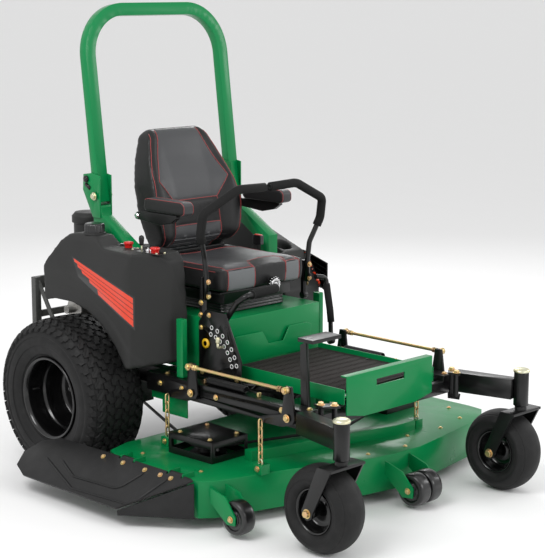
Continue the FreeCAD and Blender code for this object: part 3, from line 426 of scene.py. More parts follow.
def bevelled(made, width=1.2, segments=2, angle=32):
    """Breaks the sharp edges of a piece; width in mm."""
    weld = made.modifiers.new("Weld", "WELD")
    weld.merge_threshold = 0.00002
    edge = made.modifiers.new("Edges", "BEVEL")
    edge.width = width * MM
    edge.segments = segments
    edge.limit_method = "ANGLE"
    edge.angle_limit = math.radians(angle)
    edge.harden_normals = True
    edge.use_clamp_overlap = True
    made.data.polygons.foreach_set("use_smooth", [True] * len(made.data.polygons))
    return made


def apply_modifiers(made):
    """Replaces a piece's mesh by what its modifiers give."""
    graph = bpy.context.evaluated_depsgraph_get()
    mesh = bpy.data.meshes.new_from_object(made.evaluated_get(graph))
    made.modifiers.clear()
    made.data = mesh
    return made


def lathed(name, body, paint, profile, spot, axis, steps, slot=None):
    """One turned piece."""
    return Heap().add(lathe_mesh(profile, spot, axis, steps)).piece(name, body, paint, slot)


def hexagon(centre, axis, radius, height):
    """A bolt head or nut with a chamfered crown; sizes in mm."""
    axis, first, second = frame_from(axis)
    rings = ((radius, 0.0), (radius, height * 0.72), (radius * 0.86, height), (radius * 0.3, height))
    verts, faces = [], []
    for r, rise in rings:
        for k in range(6):
            turn = math.pi * k / 3
            around = first * math.cos(turn) + second * math.sin(turn)
            verts.append(centre + around * r * MM + axis * rise * MM)
    for i in range(len(rings) - 1):
        for k in range(6):
            j = (k + 1) % 6
            faces.append((i * 6 + k, i * 6 + j, i * 6 + 6 + j, i * 6 + 6 + k))
    faces.append(tuple(range(18, 24)))
    return verts, faces


def washer(centre, axis, radius, thick):
    return lathe_mesh([(0.1, 0), (radius, 0), (radius, thick), (0.1, thick)], centre, axis, 20)


def bolts(name, body, paint, spots, radius=8, height=6):
    """Bolt heads with washers; spots are (point, axis)."""
    heap = Heap()
    for spot, axis in spots:
        axis = Vector(axis).normalized()
        heap.add(washer(spot, axis, radius * 1.35, 1.6))
        heap.add(hexagon(spot + axis * 1.6 * MM, axis, radius, height))
    made = heap.piece(name, body, paint, "zinc", smooth=False)
    return bevelled(made, 0.5, 1)


def slab(low, high):
    """The corners and faces of a block, for bevelled plates."""
    (x0, y0, z0), (x1, y1, z1) = low, high
    verts = [Vector(p) for p in ((x0, y0, z0), (x1, y0, z0), (x1, y1, z0), (x0, y1, z0),
                                 (x0, y0, z1), (x1, y0, z1), (x1, y1, z1), (x0, y1, z1))]
    faces = [(3, 2, 1, 0), (4, 5, 6, 7), (0, 1, 5, 4), (1, 2, 6, 5), (2, 3, 7, 6), (3, 0, 4, 7)]
    return verts, faces


def prism(outline, offset):
    """A flat outline of points swept by one vector."""
    count = len(outline)
    verts = [Vector(p) for p in outline] + [Vector(p) + offset for p in outline]
    faces = [tuple(range(count))[::-1], tuple(range(count, 2 * count))]
    faces += [(i, (i + 1) % count, count + (i + 1) % count, count + i) for i in range(count)]
    return verts, faces


# ---------------------------------------------------------------- CAD nodes that stay
slot_of = {entry["node"]: entry["material_slot"] for entry in frame["record"]["subparts"]}
BEVEL_WIDTH = {"green_paint": 2.2, "black_paint": 1.4, "guard_paint": 1.2}
for node, thing in frame["nodes"].items():
    thing.data.materials.clear()
    thing.data.materials.append(PAINTS[slot_of[node]])
    bevelled(thing, BEVEL_WIDTH.get(slot_of[node], 0.8))


# ---------------------------------------------------------------- drive wheels
def drive_tyre(name, side):
    """A low-pressure turf tyre: carcass, side ribs, and rows of lightning-shaped tread blocks."""
    node = f"rear_tyre_{name}"
    low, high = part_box(node)
    centre = centre_of(node)
    radius = (high.z - low.z) / 2 / MM
    half = (high.x - low.x) / 2 / MM
    depth = 9.0
    crown = [(radius - depth, 0), (radius - depth - 1, half * 0.4), (radius - depth - 6, half * 0.68),
             (radius - depth - 20, half * 0.87), (radius * 0.845, half * 0.965)]
    wall = [(radius * 0.80, half * 0.985), (radius * 0.79, half * 0.97), (radius * 0.74, half * 0.99),
            (radius * 0.68, half * 0.985), (radius * 0.675, half * 0.965), (radius * 0.62, half * 0.935),
            (radius * 0.565, half * 0.87), (radius * 0.555, half * 0.83), (radius * 0.53, half * 0.8),
            (radius * 0.52, half * 0.7)]
    half_profile = smooth_profile(crown + wall, 4)
    profile = [(r, -w) for r, w in half_profile[::-1]] + half_profile[1:]
    axis = (side, 0, 0)
    heap = Heap().add(lathe_mesh(profile, centre, axis, 96))
    # arc length along the crown, so that blocks keep their width over the shoulder
    line = smooth_profile(crown, 6)
    lengths = [0.0]
    for (r0, w0), (r1, w1) in zip(line, line[1:]):
        lengths.append(lengths[-1] + math.hypot(r1 - r0, w1 - w0))

    def surface(reach, turn, rise):
        far = min(abs(reach), lengths[-1] - 0.01)
        i = max(k for k in range(len(line) - 1) if lengths[k] <= far)
        share = (far - lengths[i]) / (lengths[i + 1] - lengths[i])
        r = line[i][0] + (line[i + 1][0] - line[i][0]) * share
        w = line[i][1] + (line[i + 1][1] - line[i][1]) * share
        nr, nw = line[i + 1][1] - line[i][1], line[i][0] - line[i + 1][0]
        size = math.hypot(nr, nw)
        r, w = r + nr / size * rise, w + nw / size * rise
        w = w if reach > 0 else -w
        return centre + Vector((w * MM, r * MM * math.cos(turn), r * MM * math.sin(turn)))

    block = [(-15, -20), (1, -22), (5, -7), (15, -3), (15, 19), (-1, 22), (-5, 7), (-15, 3)]
    columns, rows = 8, 44
    pitch = 2 * lengths[-1] / columns
    for column in range(columns):
        reach = (column + 0.5) * pitch - lengths[-1]
        flip = -1 if column % 2 else 1
        scale = pitch / 34
        for row in range(rows):
            turn = 2 * math.pi * (row + (0.5 if column % 2 else 0.0)) / rows
            tops, bases = [], []
            for across, along in block:
                along *= flip
                for found, rise, spread in ((tops, depth - 0.6, 0.94), (bases, -2.0, 1.04)):
                    u = max(-lengths[-1] + 0.5, min(lengths[-1] - 0.5, reach + across * scale * spread))
                    found.append(surface(u, turn + along * spread / (radius - 4), rise))
            count = len(block)
            faces = [tuple(range(count)) if flip > 0 else tuple(range(count))[::-1]]
            for i in range(count):
                j = (i + 1) % count
                faces.append((i, count + i, count + j, j) if flip > 0 else (j, count + j, count + i, i))
            heap.add((tops + bases, faces))
    made = heap.piece(f"drive_tyre_{name}_tread", f"drive_wheel_{name}", "tyre_rubber", "tyre_rubber", False)
    smooth_below(made, centre, (radius - 3) * MM)
    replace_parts(made, node)


def smooth_below(made, centre, radius):
    """Smooth shading on faces whose corners lie inside a radius of the wheel's axis."""
    for face in made.data.polygons:
        far = max(math.hypot(made.data.vertices[i].co.y - centre.y, made.data.vertices[i].co.z - centre.z)
                  for i in face.vertices)
        face.use_smooth = len(face.vertices) == 4 and far < radius


def drive_rim(name, side):
    """The deep dished rim with its rolled flange, hub, valve and bright wheel nuts."""
    centre = centre_of(f"rear_tyre_{name}")
    low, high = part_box(f"rear_tyre_{name}")
    half = (high.x - low.x) / 2 / MM
    outer = smooth_profile([(171, half * 0.78), (173, half * 0.84), (170, half * 0.875), (164, half * 0.87),
                            (158, half * 0.82), (153, half * 0.72), (151, half * 0.45), (150, 40), (141, 26),
                            (139, 0), (138, -30), (134, -48), (124, -57), (108, -60), (92, -58), (84, -52),
                            (74, -51), (60, -52), (42, -52)], 4)
    heap = Heap().add(lathe_mesh(outer, centre, (side, 0, 0), 96))
    inner = smooth_profile([(171, half * 0.78), (168, half * 0.6), (158, 44), (146, 26), (146, -26),
                            (158, -44), (169, -half * 0.7), (172, -half * 0.86), (164, -half * 0.86),
                            (160, -half * 0.7), (152, -68), (120, -68), (42, -60), (42, -52)], 3)
    heap.add(lathe_mesh(inner, centre, (side, 0, 0), 96))
    made = heap.piece(f"drive_rim_{name}_shell", f"drive_wheel_{name}", "rim_paint", "rim_paint")
    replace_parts(made, f"rear_rim_{name}")
    hub = smooth_profile([(0.2, -22), (16, -22), (24, -25), (27, -32), (38, -36), (41, -44), (42, -52),
                          (68, -52.5), (68, -60)], 3)
    back = [(70, -67), (70, -79), (38, -81), (38, -107), (0.2, -107)]
    heap = Heap().add(lathe_mesh(hub, centre, (side, 0, 0), 48))
    heap.add(lathe_mesh(back, centre, (side, 0, 0), 48))
    heap.piece(f"drive_hub_{name}", f"drive_wheel_{name}", "black_paint", "rim_paint")
    nuts = Heap()
    for k in range(5):
        turn = math.radians(72 * k + 18)
        spot = centre + Vector((-side * 51 * MM, 57 * MM * math.sin(turn), 57 * MM * math.cos(turn)))
        nuts.add(lathe_mesh([(14, 0), (13, 3), (11, 5), (0.1, 5)], spot, (side, 0, 0), 20))
        nuts.add(hexagon(spot + Vector((side * 4 * MM, 0, 0)), (side, 0, 0), 11, 16))
    nuts.piece(f"wheel_nuts_{name}", f"drive_wheel_{name}", "chrome", "zinc", smooth=False)
    stem = tube_mesh([centre + Vector((side * a * MM, 144 * MM, 8 * MM)) for a in (60, 74, 92)], 4 * MM, 10)
    Heap().add(stem).piece(f"valve_{name}", f"drive_wheel_{name}", "belt_rubber", "tyre_rubber")


# ---------------------------------------------------------------- caster wheels
def caster_wheel(name, side):
    """The smooth caster tyre and its dished rim, which is the same on both faces."""
    centre = centre_of(f"caster_tyre_{name}")
    low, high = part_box(f"caster_tyre_{name}")
    radius = (high.z - low.z) / 2 / MM
    half = (high.x - low.x) / 2 / MM
    half_profile = smooth_profile([(radius, 0), (radius - 1, half * 0.22), (radius - 6, half * 0.48),
                                   (radius - 14, half * 0.68), (radius - 17, half * 0.71),
                                   (radius - 19, half * 0.78), (radius - 34, half * 0.96),
                                   (radius - 44, half * 0.99), (radius - 46, half * 0.965),
                                   (radius - 62, half * 0.93), (radius - 74, half * 0.8),
                                   (radius - 80, half * 0.7)], 5)
    profile = [(r, -w) for r, w in half_profile[::-1]] + half_profile[1:]
    made = Heap().add(lathe_mesh(profile, centre, (side, 0, 0), 96)).piece(
        f"caster_tyre_{name}_skin", f"caster_wheel_{name}", "tyre_rubber", "tyre_rubber")
    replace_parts(made, f"caster_tyre_{name}")
    rim = smooth_profile([(84, 52), (86, 56), (84, 59), (80, 57), (76, 50), (73, 34), (66, 14), (52, 7),
                          (34, 8), (24, 14), (21, 30), (20.5, half - 2), (9, half)], 4)
    heap = Heap()
    for flip in (-1, 1):
        heap.add(lathe_mesh([(r, flip * w) for r, w in rim], centre, (side, 0, 0), 72))
    made = heap.piece(f"caster_rim_{name}_shell", f"caster_wheel_{name}", "rim_paint", "rim_paint")
    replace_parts(made, f"caster_rim_{name}")


for name, side in SIDES.items():
    drive_tyre(name, side)
    drive_rim(name, side)
    caster_wheel(name, side)


# ---------------------------------------------------------------- fuel tanks
def remeshed(source, voxel, name):
    """A new object with an evenly remeshed copy of a node's shape."""
    made = bpy.data.objects.new(name, source.data.copy())
    made.matrix_world = source.matrix_world.copy()
    bpy.context.scene.collection.objects.link(made)
    made.data.transform(made.matrix_world)
    made.matrix_world.identity()
    again = made.modifiers.new("Even", "REMESH")
    again.mode = "VOXEL"
    again.voxel_size = voxel * MM
    apply_modifiers(made)
    return made


def relax(made, rounds, strength=0.5, back=0.86):
    """Smooths a mesh and gives back most of the size that the smoothing takes away."""
    count = len(made.data.vertices)
    spots = np.empty(count * 3)
    made.data.vertices.foreach_get("co", spots)
    spots = spots.reshape(-1, 3)
    edges = np.empty(len(made.data.edges) * 2, dtype=np.int64)
    made.data.edges.foreach_get("vertices", edges)
    a, b = edges.reshape(-1, 2).T
    degree = np.bincount(a, minlength=count) + np.bincount(b, minlength=count)
    degree = np.maximum(degree, 1)[:, None]
    for k in range(rounds * 2):
        total = np.zeros_like(spots)
        np.add.at(total, a, spots[b])
        np.add.at(total, b, spots[a])
        step = strength if k % 2 == 0 else -strength * back
        spots += step * (total / degree - spots)
    made.data.vertices.foreach_set("co", spots.ravel())
    made.data.update()
    return made


ARCH_Y, ARCH_Z, ARCH_RADIUS = 20, 290, 440    # the arch over the drive wheel, in mm


def tank(name, side):
    """The moulded tank: softened edges, a raised band over the wheel and a crease above it."""
    node = f"fuel_tank_{name}"
    made = relax(remeshed(frame["nodes"][node], 6.5, f"tank_{name}"), 14)
    made.data.calc_loop_triangles()
    for vertex, normal in zip(made.data.vertices, [v.normal.copy() for v in made.data.vertices]):
        y, z = (vertex.co.y - AXLE_Y) / MM, vertex.co.z / MM
        reach = math.hypot(y - ARCH_Y, z - ARCH_Z) - ARCH_RADIUS
        outward = max(0.0, normal.x * side)
        band = min(1.0, max(0.0, (58 - reach) / 10))
        crease = math.exp(-((reach - 128) / 20) ** 2)
        vertex.co += normal * outward * (4.5 * band + 2.5 * crease - 1.5) * MM
        swell = math.sin(y * 0.021 + 1.3 * side) * math.sin(z * 0.017)
        vertex.co += normal * 0.9 * swell * MM
    made.data.materials.clear()
    made.data.materials.append(PAINTS["tank_plastic"])
    made.data.polygons.foreach_set("use_smooth", [True] * len(made.data.polygons))
    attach(made, "frame")
    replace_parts(made, node)
    return made


def draped(mesh_of, corners, direction, across, down, lift):
    """A grid of points between four corners, thrown along a direction onto a mesh."""
    tree = BVHTree.FromObject(mesh_of, bpy.context.evaluated_depsgraph_get())
    verts, faces = [], []
    top_left, top_right, low_right, low_left = [Vector(c) for c in corners]
    for j in range(down + 1):
        for i in range(across + 1):
            u, v = i / across, j / down
            spot = top_left.lerp(top_right, u).lerp(low_left.lerp(low_right, u), v)
            way = direction(spot)
            hit, normal, _, _ = tree.ray_cast(spot - way * 0.6, way)
            verts.append(hit + normal * lift * MM if hit else spot)
    wide = across + 1
    for j in range(down):
        for i in range(across):
            faces.append((j * wide + i, (j + 1) * wide + i, (j + 1) * wide + i + 1, j * wide + i + 1))
    return verts, faces


def tank_decal(name, side, body_mesh):
    """Plain red stripes on a dark field along the tank's flank."""
    def way(spot):
        if side < 0:
            return (spot - camera.location).normalized()
        return Vector((-1, 0, 0))

    def corner(y, z):
        return at(side * 558, y, z)

    # each stripe runs from the narrow rear end to the wide front end
    rear_top, rear_low = (-52, 912), (-88, 838)
    front_top, front_low = (-424, 796), (-424, 680)

    def stripe(low_share, high_share, start, end):
        def between(share, along):
            rear = [a + (b - a) * share for a, b in zip(rear_top, rear_low)]
            front = [a + (b - a) * share for a, b in zip(front_top, front_low)]
            return [a + (b - a) * along for a, b in zip(rear, front)]
        return [corner(*between(low_share, start)), corner(*between(low_share, end)),
                corner(*between(high_share, end)), corner(*between(high_share, start))]

    field = draped(body_mesh, stripe(-0.07, 1.08, -0.03, 1.03), way, 40, 14, 0.5)
    piece(f"tank_decal_{name}_field", *field, "frame", "decal_black")
    heap = Heap()
    shares = [(0.0, 0.19, 0.0), (0.215, 0.38, 0.04), (0.405, 0.56, 0.1), (0.585, 0.75, 0.22),
              (0.775, 1.0, 0.36)]
    for low_share, high_share, start in shares:
        heap.add(draped(body_mesh, stripe(low_share, high_share, start, 1.0), way, 44, 3, 1.0))
    heap.piece(f"tank_decal_{name}_stripes", "frame", "decal_red")


for name, side in SIDES.items():
    tank_decal(name, side, tank(name, side))


# ---------------------------------------------------------------- upholstery
def smoothstep(low, high, value):
    """0 at low, 1 at high and a smooth rise between them, whichever of the two is larger."""
    share = min(1.0, max(0.0, (value - low) / (high - low)))
    return share * share * (3 - 2 * share)


def gap_to_line(point, line):
    """Distance in the plane from a point to a polyline, all in mm."""
    best = 1e9
    for (x0, y0), (x1, y1) in zip(line, line[1:]):
        dx, dy = x1 - x0, y1 - y0
        size = dx * dx + dy * dy
        t = 0.0 if size == 0 else min(1.0, max(0.0, ((point[0] - x0) * dx + (point[1] - y0) * dy) / size))
        best = min(best, math.hypot(point[0] - x0 - t * dx, point[1] - y0 - t * dy))
    return best


def inside(point, outline):
    x, y = point
    found = False
    for (x0, y0), (x1, y1) in zip(outline, outline[1:] + outline[:1]):
        if (y0 > y) != (y1 > y) and x < (x1 - x0) * (y - y0) / (y1 - y0) + x0:
            found = not found
    return found


def sewn(made, flatten, panels, seams, plane_test, groove=3.2, puff=7.0, reach=42.0):
    """Paints panels, sinks the seams and puffs what is between them on one face of a pad.

    flatten turns a point into plane millimetres, and plane_test says if a normal belongs to that face.
    """
    mesh = made.data
    normals = [v.normal.copy() for v in mesh.vertices]
    for vertex, normal in zip(mesh.vertices, normals):
        share = plane_test(normal)
        if share <= 0:
            continue
        point = flatten(vertex.co)
        gap = min(gap_to_line(point, line) for line in seams)
        rise = puff * (1 - math.exp(-gap / reach)) - groove * math.exp(-(gap / 5.0) ** 2)
        vertex.co += normal * rise * share * MM
    for face in mesh.polygons:
        if plane_test(face.normal) > 0.25:
            point = flatten(face.center)
            for index, outline in panels:
                if inside(point, outline):
                    face.material_index = index
    mesh.update()


def stitches(name, made, lines, throw, body, width=1.3):
    """Thread laid on a pad's surface along lines of points: each point is thrown onto the mesh."""
    tree = BVHTree.FromObject(made, bpy.context.evaluated_depsgraph_get())
    heap = Heap()
    for line in lines:
        dense = []
        for a, b in zip(line, line[1:]):
            a, b = Vector(a), Vector(b)
            steps = max(2, int((b - a).length / 0.006))
            dense += [a.lerp(b, k / steps) for k in range(steps)]
        dense.append(Vector(line[-1]))
        path = []
        for spot in dense:
            way = throw(spot)
            hit, normal, _, _ = tree.ray_cast(spot - way * 0.25, way)
            if hit:
                path.append(hit + normal * 0.5 * MM)
        if len(path) > 2:
            heap.add(tube_mesh(path, width * MM, 6))
    return heap.piece(name, body, "thread")


def refill(made, low, high):
    """Stretches a piece so that it fills a box."""
    spots = np.empty(len(made.data.vertices) * 3)
    made.data.vertices.foreach_get("co", spots)
    spots = spots.reshape(-1, 3)
    start, end = spots.min(axis=0), spots.max(axis=0)
    spots = np.array(low) + (spots - start) / (end - start) * (np.array(high) - np.array(low))
    made.data.vertices.foreach_set("co", spots.ravel())
    made.data.update()


def cushioned(source, name, voxel, shrink, rounds, paints, fill=0.0):
    """A soft copy of a plain CAD pad: remeshed, relaxed until its edges are round, then filled out again."""
    made = remeshed(source, voxel, name)
    low, high = [np.array(v) for v in (made.bound_box[0], made.bound_box[6])]
    relax(made, rounds, 0.6, fill)
    refill(made, low + shrink * MM, high - shrink * MM)
    made.data.materials.clear()
    for paint in paints:
        made.data.materials.append(PAINTS[paint])
    made.data.polygons.foreach_set("use_smooth", [True] * len(made.data.polygons))
    return made


def subdivided(made):
    more = made.modifiers.new("Finer", "SUBSURF")
    more.levels = more.render_levels = 1
    return apply_modifiers(made)


# the back: a light centre panel that widens to the elbows, a plain band and a lumbar panel
back = cushioned(frame["nodes"]["seat_back"], "backrest_pad", 8.5, 4.0, 9,
                 ["seat_vinyl", "seat_grey", "seat_light"])
panel_edge = [(112, 1424), (124, 1370), (160, 1280), (196, 1205), (124, 1118)]
lumbar_edge = [(124, 1118), (130, 1012), (138, 884)]
centre_panel = panel_edge + [(-a, b) for a, b in panel_edge[::-1]]
band_panel = [(-124, 1118), (124, 1118), (130, 1012), (-130, 1012)]
lumbar_panel = [(-130, 1012), (130, 1012), (140, 870), (-140, 870)]
wing_line = [(-146, 1412), (-176, 1340), (-214, 1240), (-232, 1150), (-230, 1070), (-214, 980), (-192, 900)]
back_seams = [
    panel_edge, [(-a, b) for a, b in panel_edge], [(-124, 1118), (124, 1118)],
    lumbar_edge, [(-a, b) for a, b in lumbar_edge], [(-130, 1012), (130, 1012)],
    wing_line, [(-a, b) for a, b in wing_line],
]


def flat_back(spot):
    return ((spot.x - CENTRE_X) / MM, spot.z / MM)


def faces_front(normal):
    return smoothstep(0.15, 0.6, -normal.y)


# the middle of the back is dished between the two bolsters
for vertex in back.data.vertices:
    x, z = flat_back(vertex.co)
    hollow = 1 - smoothstep(95, 215, abs(x))
    depth = 14 + 24 * smoothstep(1380, 1100, z)
    vertex.co.y += hollow * depth * faces_front(vertex.normal) * MM
back.data.update()
sewn(back, flat_back, [(1, centre_panel), (0, band_panel), (1, lumbar_panel)], back_seams, faces_front)
subdivided(back)
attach(back, "backrest")
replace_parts(back, "seat_back")
stitches("backrest_stitching", back, [[at(x, -200, z) for x, z in line] for line in back_seams],
         lambda spot: Vector((0, 1, 0)), "backrest")

# the cushion: light top, a dark tongue in the middle of the front, light front panels
cushion = cushioned(frame["nodes"]["seat_cushion"], "seat_cushion_pad", 8.0, 4.0, 12,
                    ["seat_vinyl", "seat_grey", "seat_light"])
top_panel = [(-205, -640), (205, -640), (205, -250), (150, -205), (-150, -205), (-205, -250)]
tongue = [(-56, -640), (-44, -560), (-4, -500), (76, -480), (136, -505), (146, -560), (126, -640)]
top_seams = [
    [(-205, -604), (-205, -250), (-150, -205), (150, -205), (205, -250), (205, -604)],
    [(-56, -604), (-44, -560), (-4, -500), (76, -480), (136, -505), (146, -560), (126, -604)],
    [(-205, -586), (-52, -586)], [(132, -586), (205, -586)],
]


def flat_top(spot):
    return ((spot.x - CENTRE_X) / MM, (spot.y - AXLE_Y) / MM)


def faces_up(normal):
    return smoothstep(0.2, 0.65, normal.z)


def flat_front(spot):
    return ((spot.x - CENTRE_X) / MM, spot.z / MM)


for vertex in cushion.data.vertices:
    x, y = flat_top(vertex.co)
    rise = smoothstep(0, 1, vertex.normal.z)
    hollow = math.exp(-((x / 130) ** 2 + ((y + 370) / 140) ** 2))
    far = max(abs(x) / 248, -(y + 378) / 228)
    edge = smoothstep(0.72, 1.0, far)
    vertex.co.z -= rise * (20 * hollow + 15 * edge) * MM
    belly = 1 - smoothstep(0.0, 1.0, abs(vertex.co.z / MM - 846) / 54)
    vertex.co += Vector((vertex.normal.x, vertex.normal.y, 0)) * 3 * (belly - 1.0) * MM
sewn(cushion, flat_top, [(1, top_panel), (0, tongue)], top_seams, faces_up, 3.0, 6.0)
front_seams = [[(upper, 905), (lower, 792)]
               for upper, lower in ((-205, -205), (-56, -52), (126, 122), (205, 205))]
front_panels = [(2, [(-205, 878), (-56, 878), (-52, 790), (-205, 790)]),
                (2, [(126, 878), (205, 878), (205, 790), (122, 790)])]
sewn(cushion, flat_front, front_panels, front_seams, faces_front, 2.4, 1.5, 30)
subdivided(cushion)
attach(cushion, "seat")
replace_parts(cushion, "seat_cushion")
stitches("cushion_stitching_top", cushion, [[at(x, y, 850) for x, y in line] for line in top_seams],
         lambda spot: Vector((0, 0, -1)), "seat")
stitches("cushion_stitching_front", cushion, [[at(x, -560, z) for x, z in line] for line in front_seams],
         lambda spot: Vector((0, 1, 0)), "seat")
# the folded vinyl flap that closes the gap between the cushion and the back
flap = slab(at(-188, -166, 846), at(188, -152, 904))
bevelled(Heap().add(flap).piece("cushion_rear_flap", "seat", "seat_vinyl"), 5, 3)
side_piping = [[at(side * 250, y, 878) for y in (-560, -400, -230)] for side in (-1, 1)]
stitches("cushion_piping", cushion, side_piping,
         lambda spot: Vector((-1 if spot.x > CENTRE_X else 1, 0, 0)), "seat")

for name, side in SIDES.items():
    node = f"armrest_{name}"
    pad_x = side * 282
    pad_source = bpy.data.objects.new("pad_source", bpy.data.meshes.new("pad_source"))
    bpy.context.scene.collection.objects.link(pad_source)
    outline = [(-455, 1104), (-440, 1095), (-215, 1095), (-201, 1110), (-206, 1147), (-226, 1155),
               (-436, 1155), (-455, 1142)]
    verts, faces = prism([at(pad_x - 30, y, z) for y, z in outline], Vector((60 * MM, 0, 0)))
    pad_source.data.from_pydata([tuple(v) for v in verts], [], faces)
    pad = cushioned(pad_source, f"armrest_{name}_pad", 4.5, 1.5, 7, ["seat_vinyl", "seat_grey"])
    bpy.data.objects.remove(pad_source)
    for face in pad.data.polygons:
        over_front = face.center.y < at(0, -438, 0).y and face.normal.y < -0.3
        if (face.normal.z > 0.35 or over_front) and abs(face.center.x - at(pad_x, 0, 0).x) < 24 * MM:
            face.material_index = 1
    edge = [[(side_x, y, 1120) for y in (-436, -330, -212)] for side_x in (pad_x - 24.5, pad_x + 24.5)]
    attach(pad, f"armrest_{name}")
    stitches(f"armrest_{name}_stitching", pad, [[at(*p) for p in line] for line in edge],
             lambda spot: Vector((0, 0, -1)), f"armrest_{name}", 1.1)
    front_edge = [[at(x, -470, z) for z in (1150, 1125, 1100)] for x in (pad_x - 24.5, pad_x + 24.5)]
    stitches(f"armrest_{name}_front_stitching", pad, front_edge, lambda spot: Vector((0, 1, 0)),
             f"armrest_{name}", 1.1)
    outline = [(-400, 1096), (-215, 1096), (-156, 1090), (-138, 1074), (-147, 1059), (-300, 1047),
               (-370, 1062), (-404, 1084)]
    verts, faces = prism([at(side * 281.5, y, z) for y, z in outline], Vector((side * 24 * MM, 0, 0)))
    bevelled(piece(f"armrest_{name}_bracket", verts, faces, node, "black_paint", "black_paint", False), 3, 3)
    bolts(f"armrest_{name}_bolt", f"armrest_{name}", "chrome",
          [(at(side * 305.5, -158, 1073), (side, 0, 0))], 9, 5)
    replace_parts(pad, node)


# ---------------------------------------------------------------- steering levers
for name, side in SIDES.items():
    run = rounded_path([at(side * x, y, z) for x, y, z in
                        ((292, -564, 772), (292, -564, 868), (302, -566, 942), (344, -588, 1044),
                         (341, -602, 1128), (167, -618, 1210), (20, -616, 1206))],
                       [r * MM for r in (60, 60, 60, 32, 90)], 10)
    Heap().add(tube_mesh(run, 11 * MM, 20)).piece(f"lever_tube_{name}", f"lever_{name}", "black_paint",
                                                  "black_paint")
    grip_run = rounded_path([at(side * x, y, z) for x, y, z in
                             ((330, -581, 1010), (344, -588, 1044), (341, -602, 1128), (167, -618, 1210),
                              (14, -616, 1206))], [r * MM for r in (60, 32, 90)], 12)
    ends = (grip_run[1] - grip_run[0]).normalized(), (grip_run[-1] - grip_run[-2]).normalized()
    grip_run = [grip_run[0]] + [grip_run[0] + ends[0] * 2 * MM] + grip_run[1:-1] + [
        grip_run[-1] - ends[1] * 2 * MM, grip_run[-1]]
    thick = [16.6 * MM] + [18.4 * MM] * (len(grip_run) - 2) + [16.6 * MM]
    grip = Heap().add(tube_mesh(grip_run, thick, 28))
    grip = grip.piece(f"lever_grip_{name}", f"lever_{name}", "lever_foam", "lever_foam")
    tip = grip_run[-1]
    lathed(f"lever_end_{name}", f"lever_{name}", "black_paint",
           [(0.1, 0.4), (7, 0.4), (8.5, 1.0), (11.5, 1.0), (12, 0)], tip, ends[1], 24)
    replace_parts(grip, f"steering_lever_{name}")
    spots = [(at(side * 292, -575, z), (0, -1, 0)) for z in (846, 788)]
    bolts(f"lever_bolts_{name}", f"lever_{name}", "zinc", spots, 8.5, 7)
    spots = [(at(side * 304.5, -544, 711), (side, 0, 0)), (at(side * 303.5, -545, 760), (side, 0, 0))]
    bolts(f"lever_foot_bolts_{name}", f"lever_foot_{name}", "zinc", spots, 9, 6)


# ---------------------------------------------------------------- surface of a CAD node
def node_surface(node):
    """The evaluated mesh of a CAD node as a ray-casting tree."""
    return BVHTree.FromObject(frame["nodes"][node], bpy.context.evaluated_depsgraph_get())


# ---------------------------------------------------------------- chains and springs
def chain_link(centre, along, across, length, wide, wire):
    """One oval link of round wire."""
    path, steps = [], 10
    straight = (length - wide) / 2
    for end in (1, -1):
        for k in range(steps + 1):
            turn = math.pi * k / steps
            path.append(centre + along * (end * (straight + wide / 2 * math.sin(turn))) * MM
                        + across * (end * wide / 2 * math.cos(turn)) * MM)
    verts, faces = tube_mesh(path + [path[0]], wire * MM, 8, cap=False)
    return verts, faces


def hanging_chain(name, body, x, y, bottom, top, links=5):
    """A row of links, each turned a quarter from the last."""
    heap = Heap()
    pitch = (top - bottom) / links
    for k in range(links):
        z = bottom + pitch * (k + 0.5)
        across = Vector((0, 1, 0)) if k % 2 else Vector((1, 0, 0))
        heap.add(chain_link(at(x, y, z), Vector(UP), across, pitch + 9, 17, 3.4))
    return heap.piece(name, body, "zinc", "zinc")


chains = []
for name, side in SIDES.items():
    for part, y in (("rear", -508), ("front", -1039)):
        chains.append(hanging_chain(f"lift_chain_{part}_{name}", "deck", side * 458, y, 239, 400))
        shackle = chain_link(at(side * 458, y, 234), Vector(UP), Vector((0, 1, 0)), 26, 18, 3.6)
        Heap().add(shackle).piece(f"chain_shackle_{part}_{name}", "deck", "pale_zinc")
        bolts(f"chain_bolt_{part}_{name}", "deck", "zinc", [(at(side * 474.5, y, 212), (side, 0, 0))], 9, 7)
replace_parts(chains[0], "lift_chains")

springs = []
for name, side in SIDES.items():
    coil, turns = [], 30
    for k in range(turns * 14 + 1):
        turn = 2 * math.pi * k / 14
        share = k / (turns * 14)
        coil.append(at(side * 398 + 13 * math.cos(turn), -900 + 210 * share, 481 + 13 * math.sin(turn)))
    hooks = [[at(side * 398, a, 481), at(side * 398, b, 481), at(side * 398, b, 466)]
             for a, b in ((-900, -972), (-690, -668))]
    hook_front, hook_rear = [rounded_path(hook, 6 * MM, 5) for hook in hooks]
    heap = Heap().add(tube_mesh(coil, 3.2 * MM, 8)).add(tube_mesh(hook_front, 3.4 * MM, 8))
    heap.add(tube_mesh(hook_rear, 3.4 * MM, 8))
    springs.append(heap.piece(f"assist_spring_{name}", "frame", "black_paint", "zinc"))
    for y in (-971, -669):
        verts, faces = slab(at(side * 398 - 8, y - 5, 465.5), at(side * 398 + 8, y + 5, 484))
        bevelled(piece(f"spring_post_{name}_{-y}", verts, faces, "frame", "zinc", "zinc", False), 2, 2)
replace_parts(springs[0], "lift_springs")


